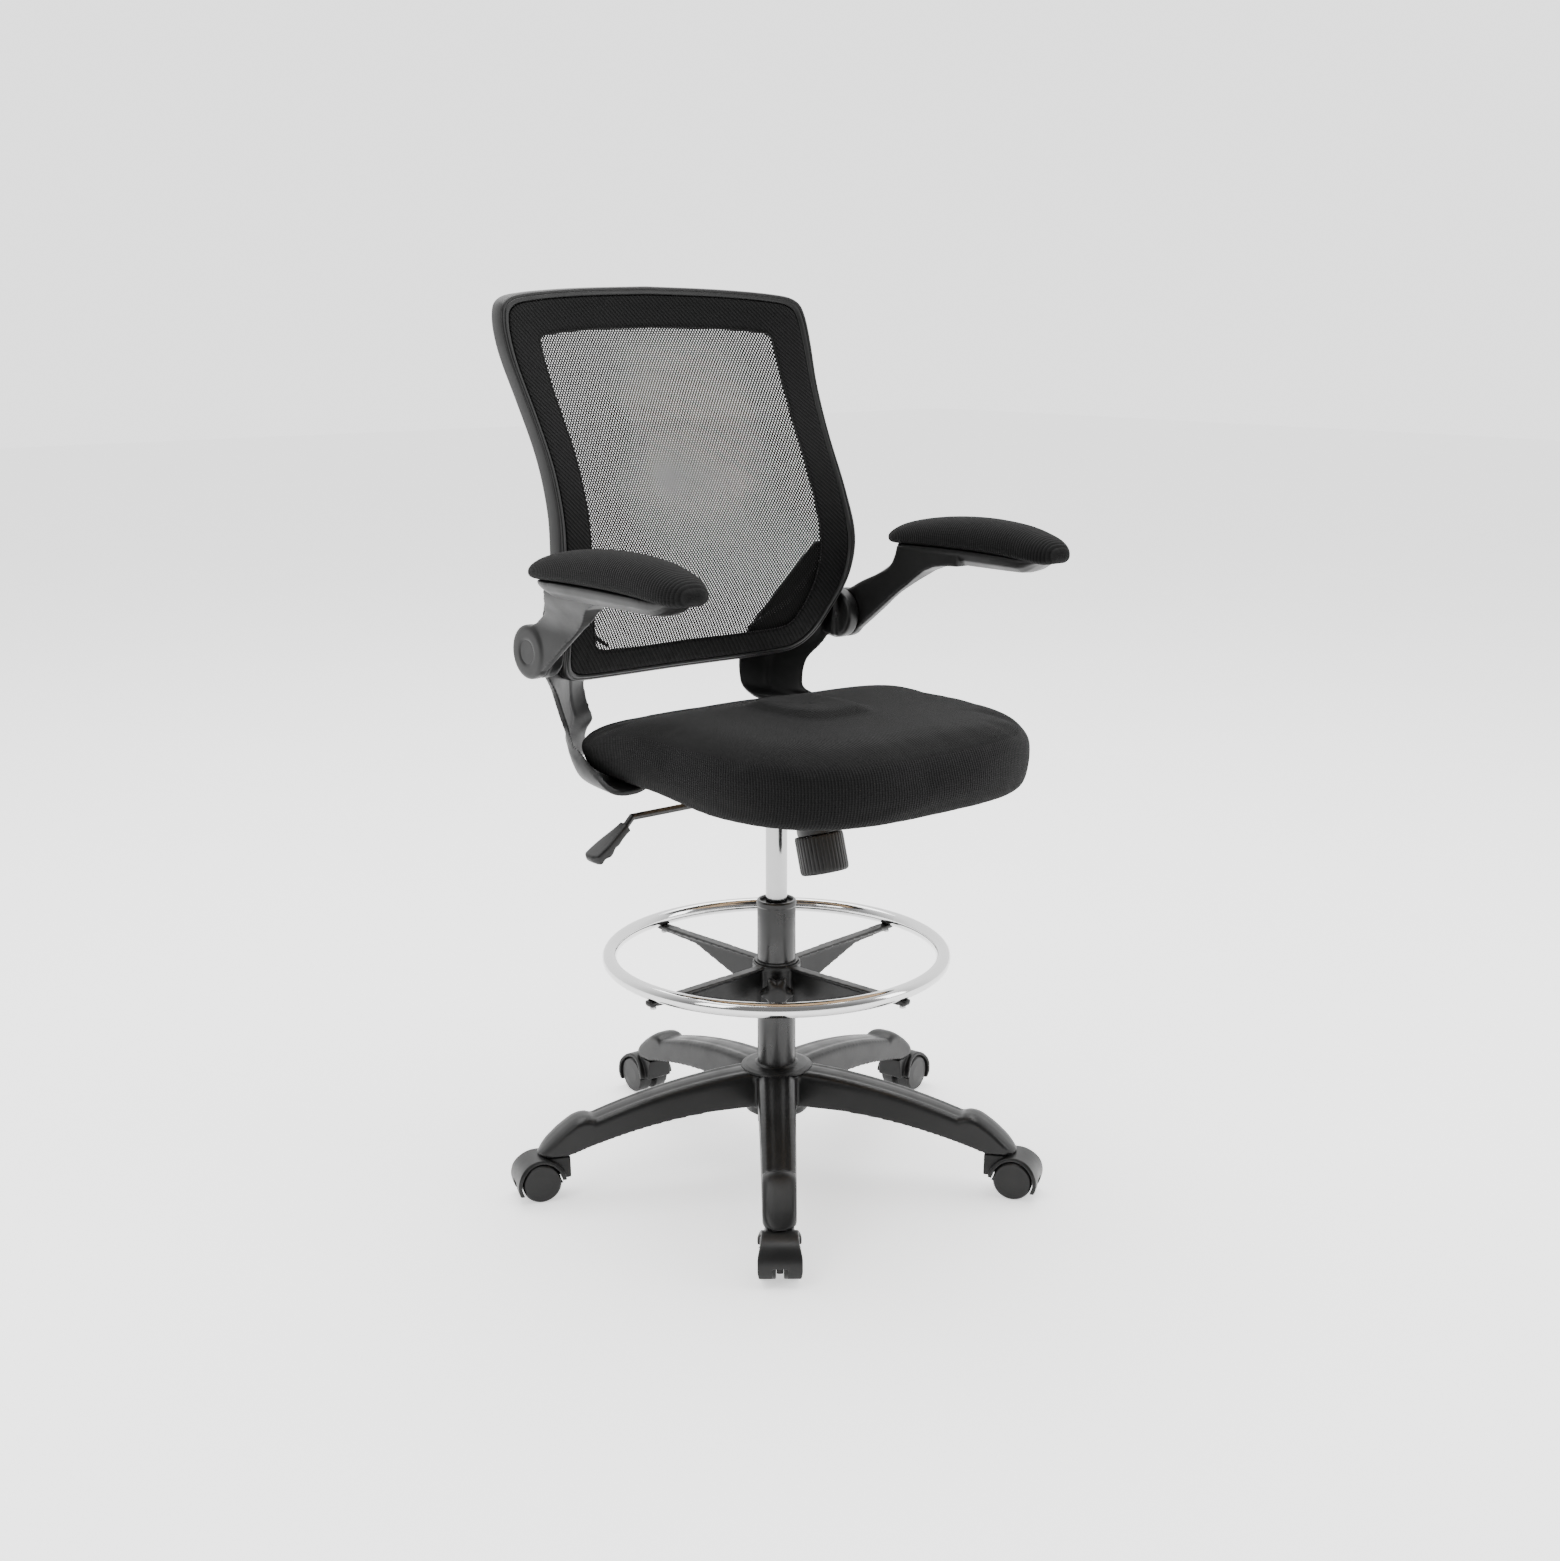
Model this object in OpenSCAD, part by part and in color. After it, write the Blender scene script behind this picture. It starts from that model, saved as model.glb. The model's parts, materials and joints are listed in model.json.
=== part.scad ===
// Drafting chair: five-star base on casters, gas lift with a foot ring,
// tilting seat, mesh back and flip-up arms.
// Origin: on the floor under the column. +Z is up, the sitter faces -Y,
// and +X is the sitter's left.

/* [Base] */
// Column axis to each caster stem
stem_reach = 305.5; // [300:0.5:310]
// Direction of the first leg, measured from the front
first_leg = -39; // [-72:1:72]
// Height of the underside of a leg's end
leg_end_z = 58; // [58:1:60]
// Radius of a caster wheel
wheel_r = 25; // [24:0.5:25]
// Caster stem to wheel axle, level
caster_trail = 16.5; // [15:0.5:17]

/* [Column] */
// Radius of the fixed outer tube
tube_r = 25; // [25:0.5:25.5]
// Height of the fixed tube's top
tube_top = 367; // [360:1:370]
// Radius of the gas cylinder
cyl_r = 14; // [14:0.1:14.2]
// Height of the gas cylinder's top
cyl_top = 502; // [500:1:502]

/* [Foot ring] */
// Radius of the ring at the middle of its tube
ring_r = 216.8; // [205:0.1:225]
// Radius of the ring's own tube
ring_tube_r = 9.5; // [8:0.5:11]
// Height of the middle of the ring's tube
ring_z = 293.5; // [290:0.5:300]

/* [Seat] */
// Half the width of the seat
seat_half_w = 226; // [222:1:227]
// Front of the seat from its middle
seat_front_d = 240; // [230:1:244]
// Rear of the seat from its middle
seat_rear_d = 256; // [250:1:257]
// Middle of the seat, behind the column axis when positive
seat_mid_y = -70; // [-74:1:-66]
// Height of the seat board's underside
board_z = 550; // [549:0.5:551]

/* [Back] */
// Height of the back's front-most line, at the lumbar bulge
lumbar_z = 795; // [785:1:805]
// Depth of the back's hollow from side to middle
back_sag = 28; // [20:1:32]
// Depth of the back frame's outer rim
rim_depth = 26; // [20:1:27]

/* [Arms] */
// Middle of an arm pad, out from the chair's middle
pad_x = 288; // [287:1:292]
// Radius of the round hub at the arm's pivot
hub_r = 34; // [30:0.5:34]

/* [Hidden] */

$fn = 64;
leg_count = 5;
run_gap = 0.05;     // radial clearance of a running fit
tiny = 0.01;

black = [0.05, 0.05, 0.055];
dark = [0.09, 0.09, 0.095];
fabric = [0.03, 0.03, 0.033];
chrome = [0.82, 0.83, 0.85];
steel = [0.45, 0.46, 0.48];
pale = [0.70, 0.70, 0.70];

// ---- shared helpers ----

function mix(a, b, t) = a + (b - a) * t;

// One point of a Catmull-Rom span from b to c
function span(a, b, c, d, t) =
    0.5 * (2 * b + (c - a) * t + (2 * a - 5 * b + 4 * c - d) * t * t
           + (3 * b - a - 3 * c + d) * t * t * t);

// A smooth open curve through the points, with `per` steps in each span
function smooth(p, per) = concat(
    [for (i = [0:len(p) - 2], k = [0:per - 1])
        span(p[max(i - 1, 0)], p[i], p[i + 1], p[min(i + 2, len(p) - 1)], k / per)],
    [p[len(p) - 1]]);

// The right half of an outline, top to bottom, made whole by its mirror image
function mirrored(half) = concat(half,
    [for (i = [len(half) - 2:-1:1]) [-half[i][0], half[i][1]]]);

// Rounded plan outline with its own depth and squareness at the front and rear
function egg(a, front, rear, power_front, power_rear, steps) =
    [for (i = [0:steps - 1]) let (t = 360 * i / steps, c = cos(t), s = sin(t),
        n = s < 0 ? power_front : power_rear)
        [a * sign(c) * pow(abs(c), 2 / n),
         (s < 0 ? front : rear) * sign(s) * pow(abs(s), 2 / n)]];

// Solid through a stack of rings, with flat ends
module loft(rings) {
    n = len(rings[0]);
    m = len(rings);
    pts = [for (r = rings) each r];
    polyhedron(pts, concat(
        [[for (i = [0:n - 1]) i]],
        [for (j = [0:m - 2], i = [0:n - 1]) let (k = (i + 1) % n)
            [j * n + i, (j + 1) * n + k, j * n + k]],
        [for (j = [0:m - 2], i = [0:n - 1]) let (k = (i + 1) % n)
            [j * n + i, (j + 1) * n + i, (j + 1) * n + k]],
        [[for (i = [n - 1:-1:0]) (m - 1) * n + i]]));
}

// Solid through rings that close on themselves, like a bent hoop
module hoop(rings) {
    n = len(rings[0]);
    m = len(rings);
    pts = [for (r = rings) each r];
    polyhedron(pts, concat(
        [for (j = [0:m - 1], i = [0:n - 1]) let (k = (i + 1) % n, q = (j + 1) % m)
            [j * n + i, j * n + k, q * n + k]],
        [for (j = [0:m - 1], i = [0:n - 1]) let (k = (i + 1) % n, q = (j + 1) % m)
            [j * n + i, q * n + k, q * n + i]]));
}

// An outline in the Y-Z plane, extruded along X from x0 to x1
module side_plate(outline, x0, x1) {
    translate([x0, 0, 0]) rotate([90, 0, 90]) linear_extrude(x1 - x0) polygon(outline);
}

// A cylinder along X from x0 to x1
module x_pin(r, x0, x1) {
    translate([x0, 0, 0]) rotate([0, 90, 0]) cylinder(r = r, h = x1 - x0);
}

module tube(r_out, r_in, z0, z1) {
    translate([0, 0, z0]) difference() {
        cylinder(r = r_out, h = z1 - z0);
        translate([0, 0, -1]) cylinder(r = r_in, h = z1 - z0 + 2);
    }
}

module at_side(side) {
    if (side > 0) children(); else mirror([1, 0, 0]) children();
}

// ---- base ----

hub_top = 137;
hub_low = 80;
leg_wall = 4;
boss_from = 249;
function leg_top(r) = 141 - 0.00065 * r * r;
function leg_low(r) = 93 - 0.04 * (r - 90) - 0.00073 * (r - 90) * (r - 90);

module leg_side(drop, z_low) {
    top = [for (r = [20:23:boss_from]) [r, leg_top(r) - drop]];
    boss = [[256, 104.5 - drop], [266, 104.5 - drop], [275, 101.5 - drop],
            [292, 90 - drop], [309, 75 - drop], [320 - drop, 62 - drop]];
    low = z_low > 0
        ? [[324 - drop, leg_end_z], [296, leg_end_z],
           for (r = [280:-27:90]) [r, leg_low(r)], [60, 90], [20, hub_low + 4]]
        : [[324 - drop, 40], [20, 40]];
    rotate([90, 0, 0]) linear_extrude(70, center = true) polygon(concat(top, boss, low));
}

module leg_plan(inset) {
    end_r = 20.5 - inset;
    linear_extrude(200) polygon(concat(
        [[0, 26 - inset], [0, -26 + inset], [150, -23 + inset]],
        [for (a = [-90:15:90]) [303 + end_r * cos(a), end_r * sin(a)]],
        [[150, 23 - inset]]));
}

module star_base() {
    color(dark) difference() {
        union() {
            for (i = [0:leg_count - 1]) rotate([0, 0, first_leg - 90 + 72 * i])
                difference() {
                    intersection() {
                        leg_side(0, 1);
                        leg_plan(0);
                    }
                    difference() {
                        intersection() {
                            leg_side(leg_wall, 0);
                            leg_plan(leg_wall);
                        }
                        translate([stem_reach, 0, 0]) cylinder(r = 12, h = 200);
                        cylinder(r = 39, h = 200);
                        translate([0, -1.5, 0]) cube([stem_reach, 3, 200]);
                    }
                }
            translate([0, 0, hub_low]) cylinder(r = 42, h = hub_top - hub_low + 8);
        }
        cylinder(r = tube_r, h = 200);
        translate([0, 0, hub_top]) cylinder(r = 47.3, h = 60);
        for (i = [0:leg_count - 1]) rotate([0, 0, first_leg - 90 + 72 * i])
            translate([stem_reach, 0, leg_end_z - 1]) cylinder(r = 8, h = 9);
    }
}

module hub_trim_ring() {
    color(black) rotate_extrude() polygon([[tube_r + 0.2, hub_top],
        [46, hub_top], [47, hub_top + 1.5], [46, hub_top + 3.5], [40, hub_top + 5],
        [29, hub_top + 6], [tube_r + 0.2, hub_top + 8]]);
}

module caster_sockets() {
    color(steel) for (i = [0:leg_count - 1])
        rotate([0, 0, first_leg - 90 + 72 * i]) translate([stem_reach, 0, 0])
            tube(8, 5.5 + run_gap, leg_end_z - 1, leg_end_z + 8);
}

// ---- column ----

tube_low = 60;
tube_bore = 21;
plate_top = tube_low + 5;
rod_r = 5;
piston_r = 11.45;
rod_top = 335;

module column_tube() {
    color(dark) rotate_extrude() polygon([
        [rod_r + run_gap, tube_low], [tube_r, tube_low], [tube_r, tube_top - 9],
        [tube_r + 0.8, tube_top - 7], [tube_r + 0.8, tube_top - 2],
        [tube_r - 0.8, tube_top], [tube_r - 3.2, tube_top], [tube_bore, tube_top - 2],
        [tube_bore, plate_top], [rod_r + run_gap, plate_top]]);
}

module column_bush() {
    color(pale) tube(tube_bore, cyl_r + run_gap, 296, tube_top - 4);
}

module piston_rod() {
    color(steel) {
        translate([0, 0, 54]) cylinder(r = rod_r, h = rod_top - 54);
        translate([0, 0, tube_low - 3.5]) cylinder(r = 8.5, h = 3.45);
        translate([0, 0, plate_top + 7]) cylinder(r = 9, h = 4);
        translate([0, 0, rod_top - 10]) cylinder(r = piston_r, h = 10);
    }
}

module thrust_bearing() {
    color(steel) rotate_extrude() polygon([
        [rod_r + 0.1, plate_top + 0.05], [14, plate_top + 0.05], [14, plate_top + 2.2],
        [12.5, plate_top + 3.5], [14, plate_top + 4.8], [14, plate_top + 6.95],
        [rod_r + 0.1, plate_top + 6.95]]);
}

cyl_low = 165;
cyl_bore_top = 485;
button_r = 4;
rod_axis_z = 513.5;
lever_r = 4.2;

module gas_cylinder() {
    color(chrome) difference() {
        translate([0, 0, cyl_low]) cylinder(r = cyl_r, h = cyl_top - cyl_low);
        translate([0, 0, cyl_low - 1]) cylinder(r = rod_r + run_gap, h = 10);
        translate([0, 0, cyl_low + 4])
            cylinder(r = piston_r + run_gap, h = cyl_bore_top - cyl_low - 4);
        translate([0, 0, cyl_bore_top - 1]) cylinder(r = button_r + run_gap, h = 30);
    }
}

// The rod clears the button by 1 mm at rest, so it never bites in with the lever pulled out
button_top = 508;

module valve_button() {
    color(steel) rotate_extrude() polygon([
        [0, 491], [button_r, 491], [button_r, button_top - 1.4], [2.5, button_top],
        [0, button_top]]);
}

// ---- tilt mechanism ----

pivot_y = -38;
pivot_z = 516;
pivot_r = 5;
wall_x = 48;         // outer face of the mechanism's side wall
sheet = 3;
bolt_lean = 16;
bolt_r = 4.5;
cup_r = 26.5;
cup_low = 25.5;
cup_top = 43;

// The tension bolt's own frame: origin at the knob's middle, +Z up the bolt
module on_bolt() {
    translate([0, -89, 447]) rotate([-bolt_lean, 0, 0]) children();
}

module tilt_bracket() {
    wall = [[-104, 487], [72, 487], [72, 505], [-14, 529], [-22, 536], [-58, 536],
            [-104, 500]];
    color(black) difference() {
        union() {
            translate([-wall_x, -104, 487]) cube([2 * wall_x, 176, sheet]);
            side_plate(wall, wall_x - sheet, wall_x);
            side_plate(wall, -wall_x, -wall_x + sheet);
            translate([-wall_x, 69, 487]) cube([2 * wall_x, sheet, 16]);
            translate([-wall_x, -104, 487]) cube([2 * wall_x, sheet, 12]);
            translate([0, 0, 480]) cylinder(r = 20, h = 20);
            on_bolt() translate([0, 0, cup_low]) cylinder(r = cup_r, h = cup_top - cup_low);
        }
        translate([0, 0, 470]) cylinder(r = cyl_r, h = 60);
        on_bolt() {
            translate([0, 0, cup_low - 1]) cylinder(r = cup_r - 3, h = cup_top - cup_low - 3);
            cylinder(r = bolt_r + run_gap, h = 80);
        }
        translate([0, pivot_y, pivot_z]) x_pin(pivot_r, -60, 60);
        translate([0, 0, rod_axis_z]) x_pin(6, -60, -30);
    }
}

module tilt_pivot_pin() {
    color(steel) translate([0, pivot_y, pivot_z]) {
        x_pin(pivot_r, -57.5, 57.5);
        x_pin(8, 54.4, 57.5);
        x_pin(8, -57.5, -54.4);
    }
}

module tilt_lock_plate() {
    color(steel) difference() {
        translate([-34, -18, 503]) cube([3, 36, 25]);
        translate([0, 0, rod_axis_z]) x_pin(6, -40, -28);
    }
}

lever_bend_x = -226;

module lever_rod() {
    color(black) translate([0, 0, rod_axis_z]) {
        x_pin(lever_r, lever_bend_x, 10);
        translate([lever_bend_x, 0, 0]) {
            sphere(lever_r + 0.2);
            rotate([0, -135, 0]) cylinder(r = lever_r, h = 22);
        }
    }
}

// Flat handle that the fingers pull up
module lever_paddle() {
    outline = smooth([[0, 7], [12, 9], [34, 13], [52, 14], [64, 9], [67, 0],
                      [64, -9], [52, -14], [34, -13], [12, -9], [0, -7]], 3);
    color(black) difference() {
        translate([-236, 0, 503]) rotate([0, 23, 180])
            translate([0, 0, -6]) linear_extrude(11) polygon(outline);
        translate([lever_bend_x, 0, rod_axis_z]) rotate([0, -135, 0])
            cylinder(r = lever_r, h = 22);
    }
}

module tension_bolt() {
    color(steel) on_bolt() {
        translate([0, 0, -16]) cylinder(r = bolt_r, h = 108);
        translate([0, 0, 92]) x_pin(3, -12, 12);
    }
}

knob_r = 31;
knob_half = 24.5;
knob_floor = -12;

module tension_knob() {
    color(black) on_bolt() difference() {
        union() {
            translate([0, 0, -knob_half + 2]) linear_extrude(2 * knob_half - 2)
                difference() {
                    circle(knob_r);
                    for (a = [0:10:350]) rotate(a) translate([knob_r + 0.3, 0])
                        circle(1.1, $fn = 16);
                }
            translate([0, 0, -knob_half]) cylinder(r = knob_r - 3, h = 3);
        }
        translate([0, 0, knob_floor]) cylinder(r = cup_r + 2.2, h = 60);
        translate([0, 0, -16.2]) cylinder(r = bolt_r + run_gap, h = 60);
    }
}

spring_low = knob_floor + 0.3;
spring_high = 38.7;
spring_turns = 5;
wire_r = 2.2;
coil_r = 14;

module tension_spring() {
    steps = 16 * spring_turns;
    rise = spring_high - spring_low - 2 * wire_r;
    color(steel) on_bolt() loft([for (i = [0:steps])
        let (a = 360 * spring_turns * i / steps, z = spring_low + wire_r + rise * i / steps)
        [for (k = [0:7]) let (b = 45 * k, q = coil_r + wire_r * cos(b))
            [q * cos(a), q * sin(a), z - wire_r * sin(b)]]]);
}

module ear_slot() {
    translate([0, 0, 92]) rotate([0, 90, 0]) translate([0, 0, -20]) {
        for (d = [-1, 1]) translate([0, 3.4 * d, 0]) cylinder(r = 3.6, h = 40);
        translate([-3.6, -3.4, 0]) cube([7.2, 6.8, 40]);
    }
}

module seat_plate() {
    flange = [[-64, board_z - sheet], [-12, board_z - sheet], [-28, 506], [-48, 506]];
    ear = [[-78, board_z - sheet], [-48, board_z - sheet], [-52, 529], [-72, 529]];
    color(black) difference() {
        union() {
            translate([-88, -115, board_z - sheet]) cube([176, 240, sheet]);
            side_plate(flange, 50, 54);
            side_plate(flange, -54, -50);
            side_plate(ear, 8, 11);
            side_plate(ear, -11, -8);
        }
        translate([0, pivot_y, pivot_z]) x_pin(pivot_r + run_gap, -60, 60);
        on_bolt() ear_slot();
        for (x = [-70, 70], y = [-95, 105]) translate([x, y, 500]) cylinder(r = 3.3, h = 80);
    }
}

// ---- seat ----

board_t = 12;
board_inset = 36;

function seat_outline(inset) = [for (p =
    egg(seat_half_w - inset, seat_front_d - inset, seat_rear_d - inset, 3.3, 4.6, 64))
    [p[0], p[1] + seat_mid_y]];

module seat_board() {
    color([0.45, 0.33, 0.2]) difference() {
        translate([0, 0, board_z]) linear_extrude(board_t)
            polygon(seat_outline(board_inset));
        for (x = [-70, 70], y = [-95, 105]) translate([x, y, 500]) cylinder(r = 3, h = 80);
        for (s = [-1, 1], p = foot_screws) translate([s * p[0], p[1], 500])
            cylinder(r = 2.5, h = 80);
    }
}

// Rings of the cushion as [inset, height]; the first two line the board's pocket
cushion_rings = [[board_inset - 0.6, 562.3], [board_inset - 0.6, 549.5],
    [30, 548.2], [18, 549.5], [8, 556], [2, 568], [0, 582], [2, 598], [8, 611],
    [18, 621], [34, 628], [64, 632.5], [110, 634], [170, 633]];
cushion_top = 634;
function ease(t) = let (u = min(max(t, 0), 1)) u * u * (3 - 2 * u);

// The top falls towards the rear, and the lower edge hangs at the front
function cushion_z(y, z) = z
    - 36 * ease((y + 30) / 200) * max(0, (z - 562.4) / (cushion_top - 562.4))
    - 8 * ease((-y - 20) / 130) * max(0, 1 - (z - 548) / 40);

module seat_cushion() {
    color(fabric) loft([for (i = [0:len(cushion_rings) - 1]) let (r = cushion_rings[i])
        [for (p = seat_outline(r[0])) [p[0], p[1], i < 2 ? r[1] : cushion_z(p[1], r[1])]]]);
}

// ---- brackets that carry the back and the arms ----

arm_y = 158;
arm_z = 698;
drum_in = 233;
drum_out = 252.8;
strap_t = 7;
foot_screws = [[182, 32], [160, 96], [140, 52]];

// Front edge, middle and rear edge of the strap at each station, from the foot upwards
strap_lines = [
    [[132, 18, 546.4], [126, 55, 546.4], [118, 92, 546.4]],
    [[186, 12, 546.4], [168, 70, 546.4], [148, 124, 546.4]],
    [[208, 10, 541], [194, 74, 541], [170, 134, 541]],
    [[232, 12, 541], [216, 84, 541], [186, 144, 541]],
    [[241, 22, 545], [228, 96, 545], [190, 158, 546]],
    [[242, 44, 556], [228, 114, 557], [178, 176, 561]],
    [[234, 90, 570], [217, 144, 573], [158, 200, 575]],
    [[220, 136, 580], [195, 182, 582], [137, 214, 585]],
    [[200, 180, 592], [166, 214, 594], [127, 232, 598]],
    [[201, 192, 612], [164, 222, 613], [129, 243, 615]],
    [[210, 189, 633], [167, 221, 633], [133, 244, 634]],
    [[219, 182, 645], [170, 219, 648], [134, 240, 650]],
    [[231, 171, 657], [172, 210, 664], [122, 222, 668]],
    [[241, 168, 680], [177, 190, 690], [131, 213, 690]],
    [[240, 166, 716], [181, 177, 720], [147, 190, 722]],
    [[236, 160, 762], [206, 166, 764], [172, 171, 764]],
    [[230, 157, 796], [217, 160, 798], [204, 162, 800]]];

function unit(v) = v / norm(v);
function strap_normal(i) = let (
    last = len(strap_lines) - 1,
    up = strap_lines[min(i + 1, last)][1] - strap_lines[max(i - 1, 0)][1],
    across = strap_lines[i][0] - strap_lines[i][2])
    unit(cross(up, across));

module strap() {
    loft([for (i = [0:len(strap_lines) - 1])
        let (l = strap_lines[i], n = strap_normal(i) * strap_t / 2)
        [l[0] + n, l[1] + n, l[2] + n, l[2] - n, l[1] - n, l[0] - n]]);
}

module side_bracket(side) {
    color(black) at_side(side) difference() {
        union() {
            strap();
            translate([0, arm_y, arm_z]) x_pin(hub_r, drum_in, drum_out);
        }
        translate([0, arm_y, arm_z]) x_pin(6, drum_in - 20, drum_out + 1);
        for (p = foot_screws) translate([p[0], p[1], 500]) cylinder(r = 3, h = 60);
    }
}
module side_bracket_left() { side_bracket(1); }
module side_bracket_right() { side_bracket(-1); }

module screw_up(r_head, z_head, h_head, r, z_tip) {
    translate([0, 0, z_head]) cylinder(r = r_head, h = h_head);
    translate([0, 0, z_head]) cylinder(r = r, h = z_tip - z_head);
}

module seat_screws() {
    color(steel) {
        for (s = [-1, 1], p = foot_screws) translate([s * p[0], p[1], 0])
            screw_up(5.5, 538, 5, 2.4, board_z + 9);
        for (x = [-70, 70], y = [-95, 105]) translate([x, y, 0])
            screw_up(6.5, board_z - sheet - 3.6, 3.5, 2.9, board_z + 9);
    }
}

module arm_pivot_pin(side) {
    color(steel) at_side(side) translate([0, arm_y, arm_z]) {
        x_pin(6, drum_in - 3, 263.5);
        x_pin(10, drum_in - 3.2, drum_in - 0.1);
    }
}
module arm_pivot_pin_left() { arm_pivot_pin(1); }
module arm_pivot_pin_right() { arm_pivot_pin(-1); }

// ---- back ----

lumbar_y = 118;
back_lean = 118;
back_rise = 355;
function back_side_y(z) = z > lumbar_z
    ? lumbar_y + back_lean / 2 * (1 - cos(180 * (z - lumbar_z) / back_rise))
    : lumbar_y + 0.0027 * (lumbar_z - z) * (lumbar_z - z);
function back_y(x, z) = back_side_y(z) + back_sag * (1 - x * x / 57600);
function on_back(p, back) = [p[0], back_y(p[0], p[1]) + back, p[1]];

// Outer outline of the frame and outline of the open window, right half
frame_half = smooth([[0, 1137], [110, 1134], [196, 1128], [231, 1120], [243, 1100],
    [244, 1060], [236, 1000], [231, 935], [234, 870], [240, 808], [234, 755],
    [220, 712], [207, 672], [191, 652], [165, 644.5], [90, 641.5], [0, 641]], 2);
window_half = smooth([[0, 1084], [100, 1082], [165, 1077], [181, 1073], [185, 1060],
    [183, 1000], [180, 940], [182, 870], [186, 800], [182, 760], [176, 732],
    [170, 712], [161, 694], [148, 687.5], [124, 685], [60, 683.5], [0, 684]], 2);
frame_line = mirrored(frame_half);
window_line = mirrored(window_half);
rim_t = 0.2;         // share of the border that the raised rim takes
line_n = len(frame_line);

function border(i, t) = mix(frame_line[i], window_line[i], t);

module back_frame() {
    color(black) hoop([for (i = [line_n - 1:-1:0]) [
        on_back(border(i, 0), 2), on_back(border(i, 0.03), 0),
        on_back(border(i, rim_t), 0), on_back(border(i, rim_t), 5),
        on_back(border(i, 0.9), 5), on_back(border(i, 0.9), 9),
        on_back(border(i, rim_t + 0.04), 9), on_back(border(i, rim_t), rim_depth - 3),
        on_back(border(i, 0.12), rim_depth), on_back(border(i, 0), rim_depth - 2)]]);
}

// Shares of the border where the band's width is divided, so that it follows the curve
band_steps = [rim_t + 0.02, 0.6, 0.84, 1];

module back_band() {
    color(fabric) hoop([for (i = [line_n - 1:-1:0]) [
        for (t = band_steps) on_back(border(i, t), 1),
        for (k = [len(band_steps) - 1:-1:0]) on_back(border(i, band_steps[k]), 2.4)]]);
}

module back_mesh() {
    mid = [0, 870];
    color(fabric) hoop_sheet([for (s = [1, 0.95, 0.8, 0.6, 0.4, 0.2])
        [for (i = [line_n - 1:-1:0]) mix(mid, border(i, 0.86), s)]], mid, 3.4, 4.8);
}

// Closed sheet over a stack of shrinking outlines about a middle point
module hoop_sheet(lines, mid, front, rear) {
    n = len(lines[0]);
    m = len(lines);
    one = concat([for (l = lines, p = l) p], [mid]);
    c = len(one);
    pts = concat([for (p = one) on_back(p, front)], [for (p = one) on_back(p, rear)]);
    face = concat(
        [for (j = [0:m - 2], i = [0:n - 1]) let (k = (i + 1) % n)
            [j * n + i, j * n + k, (j + 1) * n + k]],
        [for (j = [0:m - 2], i = [0:n - 1]) let (k = (i + 1) % n)
            [j * n + i, (j + 1) * n + k, (j + 1) * n + i]],
        [for (i = [0:n - 1]) [(m - 1) * n + i, (m - 1) * n + (i + 1) % n, c - 1]]);
    polyhedron(pts, concat(
        [for (f = face) [f[2], f[1], f[0]]],
        [for (f = face) [f[0] + c, f[1] + c, f[2] + c]],
        [for (i = [0:n - 1]) let (k = (i + 1) % n) [i, k, k + c]],
        [for (i = [0:n - 1]) let (k = (i + 1) % n) [i, k + c, i + c]]));
}

// Each back screw as [x, tip y, head y, z]
back_screw_at = [[214, 156, 170.5, 735], [222, 146, 162.5, 775]];

module back_screws() {
    color(steel) for (s = [-1, 1], p = back_screw_at)
        translate([s * p[0], p[1], p[3]]) rotate([-90, 0, 0]) {
            cylinder(r = 2.5, h = p[2] - p[1] + 1);
            translate([0, 0, p[2] - p[1]]) cylinder(r = 5.5, h = 3.5);
        }
}

// ---- arms ----

tray_mid = -60;
tray_front = -208;
tray_rear = 76;
beam_low = 782;
function tray_top(y) = 804 - 0.0002 * (y - tray_mid) * (y - tray_mid);
tray_ys = [for (y = [tray_rear:-24:tray_front + 10]) y];

module arm(side) {
    tray = concat([for (y = tray_ys) [y, tray_top(y)]],
        [[tray_front, 799], [-204, 794], [-196, 790]],
        [for (i = [len(tray_ys) - 2:-1:0]) [tray_ys[i], tray_top(tray_ys[i]) - 9]]);
    beam = [[73, 790], [0, 797], [-60, 799], [-120, 797], [-190, 792], [-194, 788],
        [-180, 783.5], [-160, beam_low], [-60, beam_low - 1], [-20, 778], [0, 771],
        [40, 752]];
    neck = [[arm_y, arm_z - hub_r], [arm_y, 731], [127, 747], [105, 760], [88, 774],
        [80, 792], [0, 797], [-60, 797], [-60, 781], [-20, 777], [5, 769],
        [34, 749], [72, 721], [104, 697], [130, 677]];
    color(black) at_side(side) difference() {
        union() {
            translate([0, arm_y, arm_z]) x_pin(hub_r, drum_out + 0.4, 268);
            side_plate(neck, drum_out + 0.4, 268);
            side_plate(beam, 268 - tiny, 304);
            side_plate(tray, 255, 321);
        }
        translate([0, arm_y, arm_z]) x_pin(6 + run_gap, 250, 272);
        translate([0, arm_y, arm_z]) x_pin(15, 264.5, 272);
    }
}
module arm_left() { arm(1); }
module arm_right() { arm(-1); }

module arm_cap(side) {
    color(dark) at_side(side) translate([0, arm_y, arm_z]) x_pin(14.9, 264.6, 267);
}
module arm_cap_left() { arm_cap(1); }
module arm_cap_right() { arm_cap(-1); }

pad_half_w = 36;
pad_half_l = 155;
pad_mid_y = -65;
pad_rise = 42;

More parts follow.
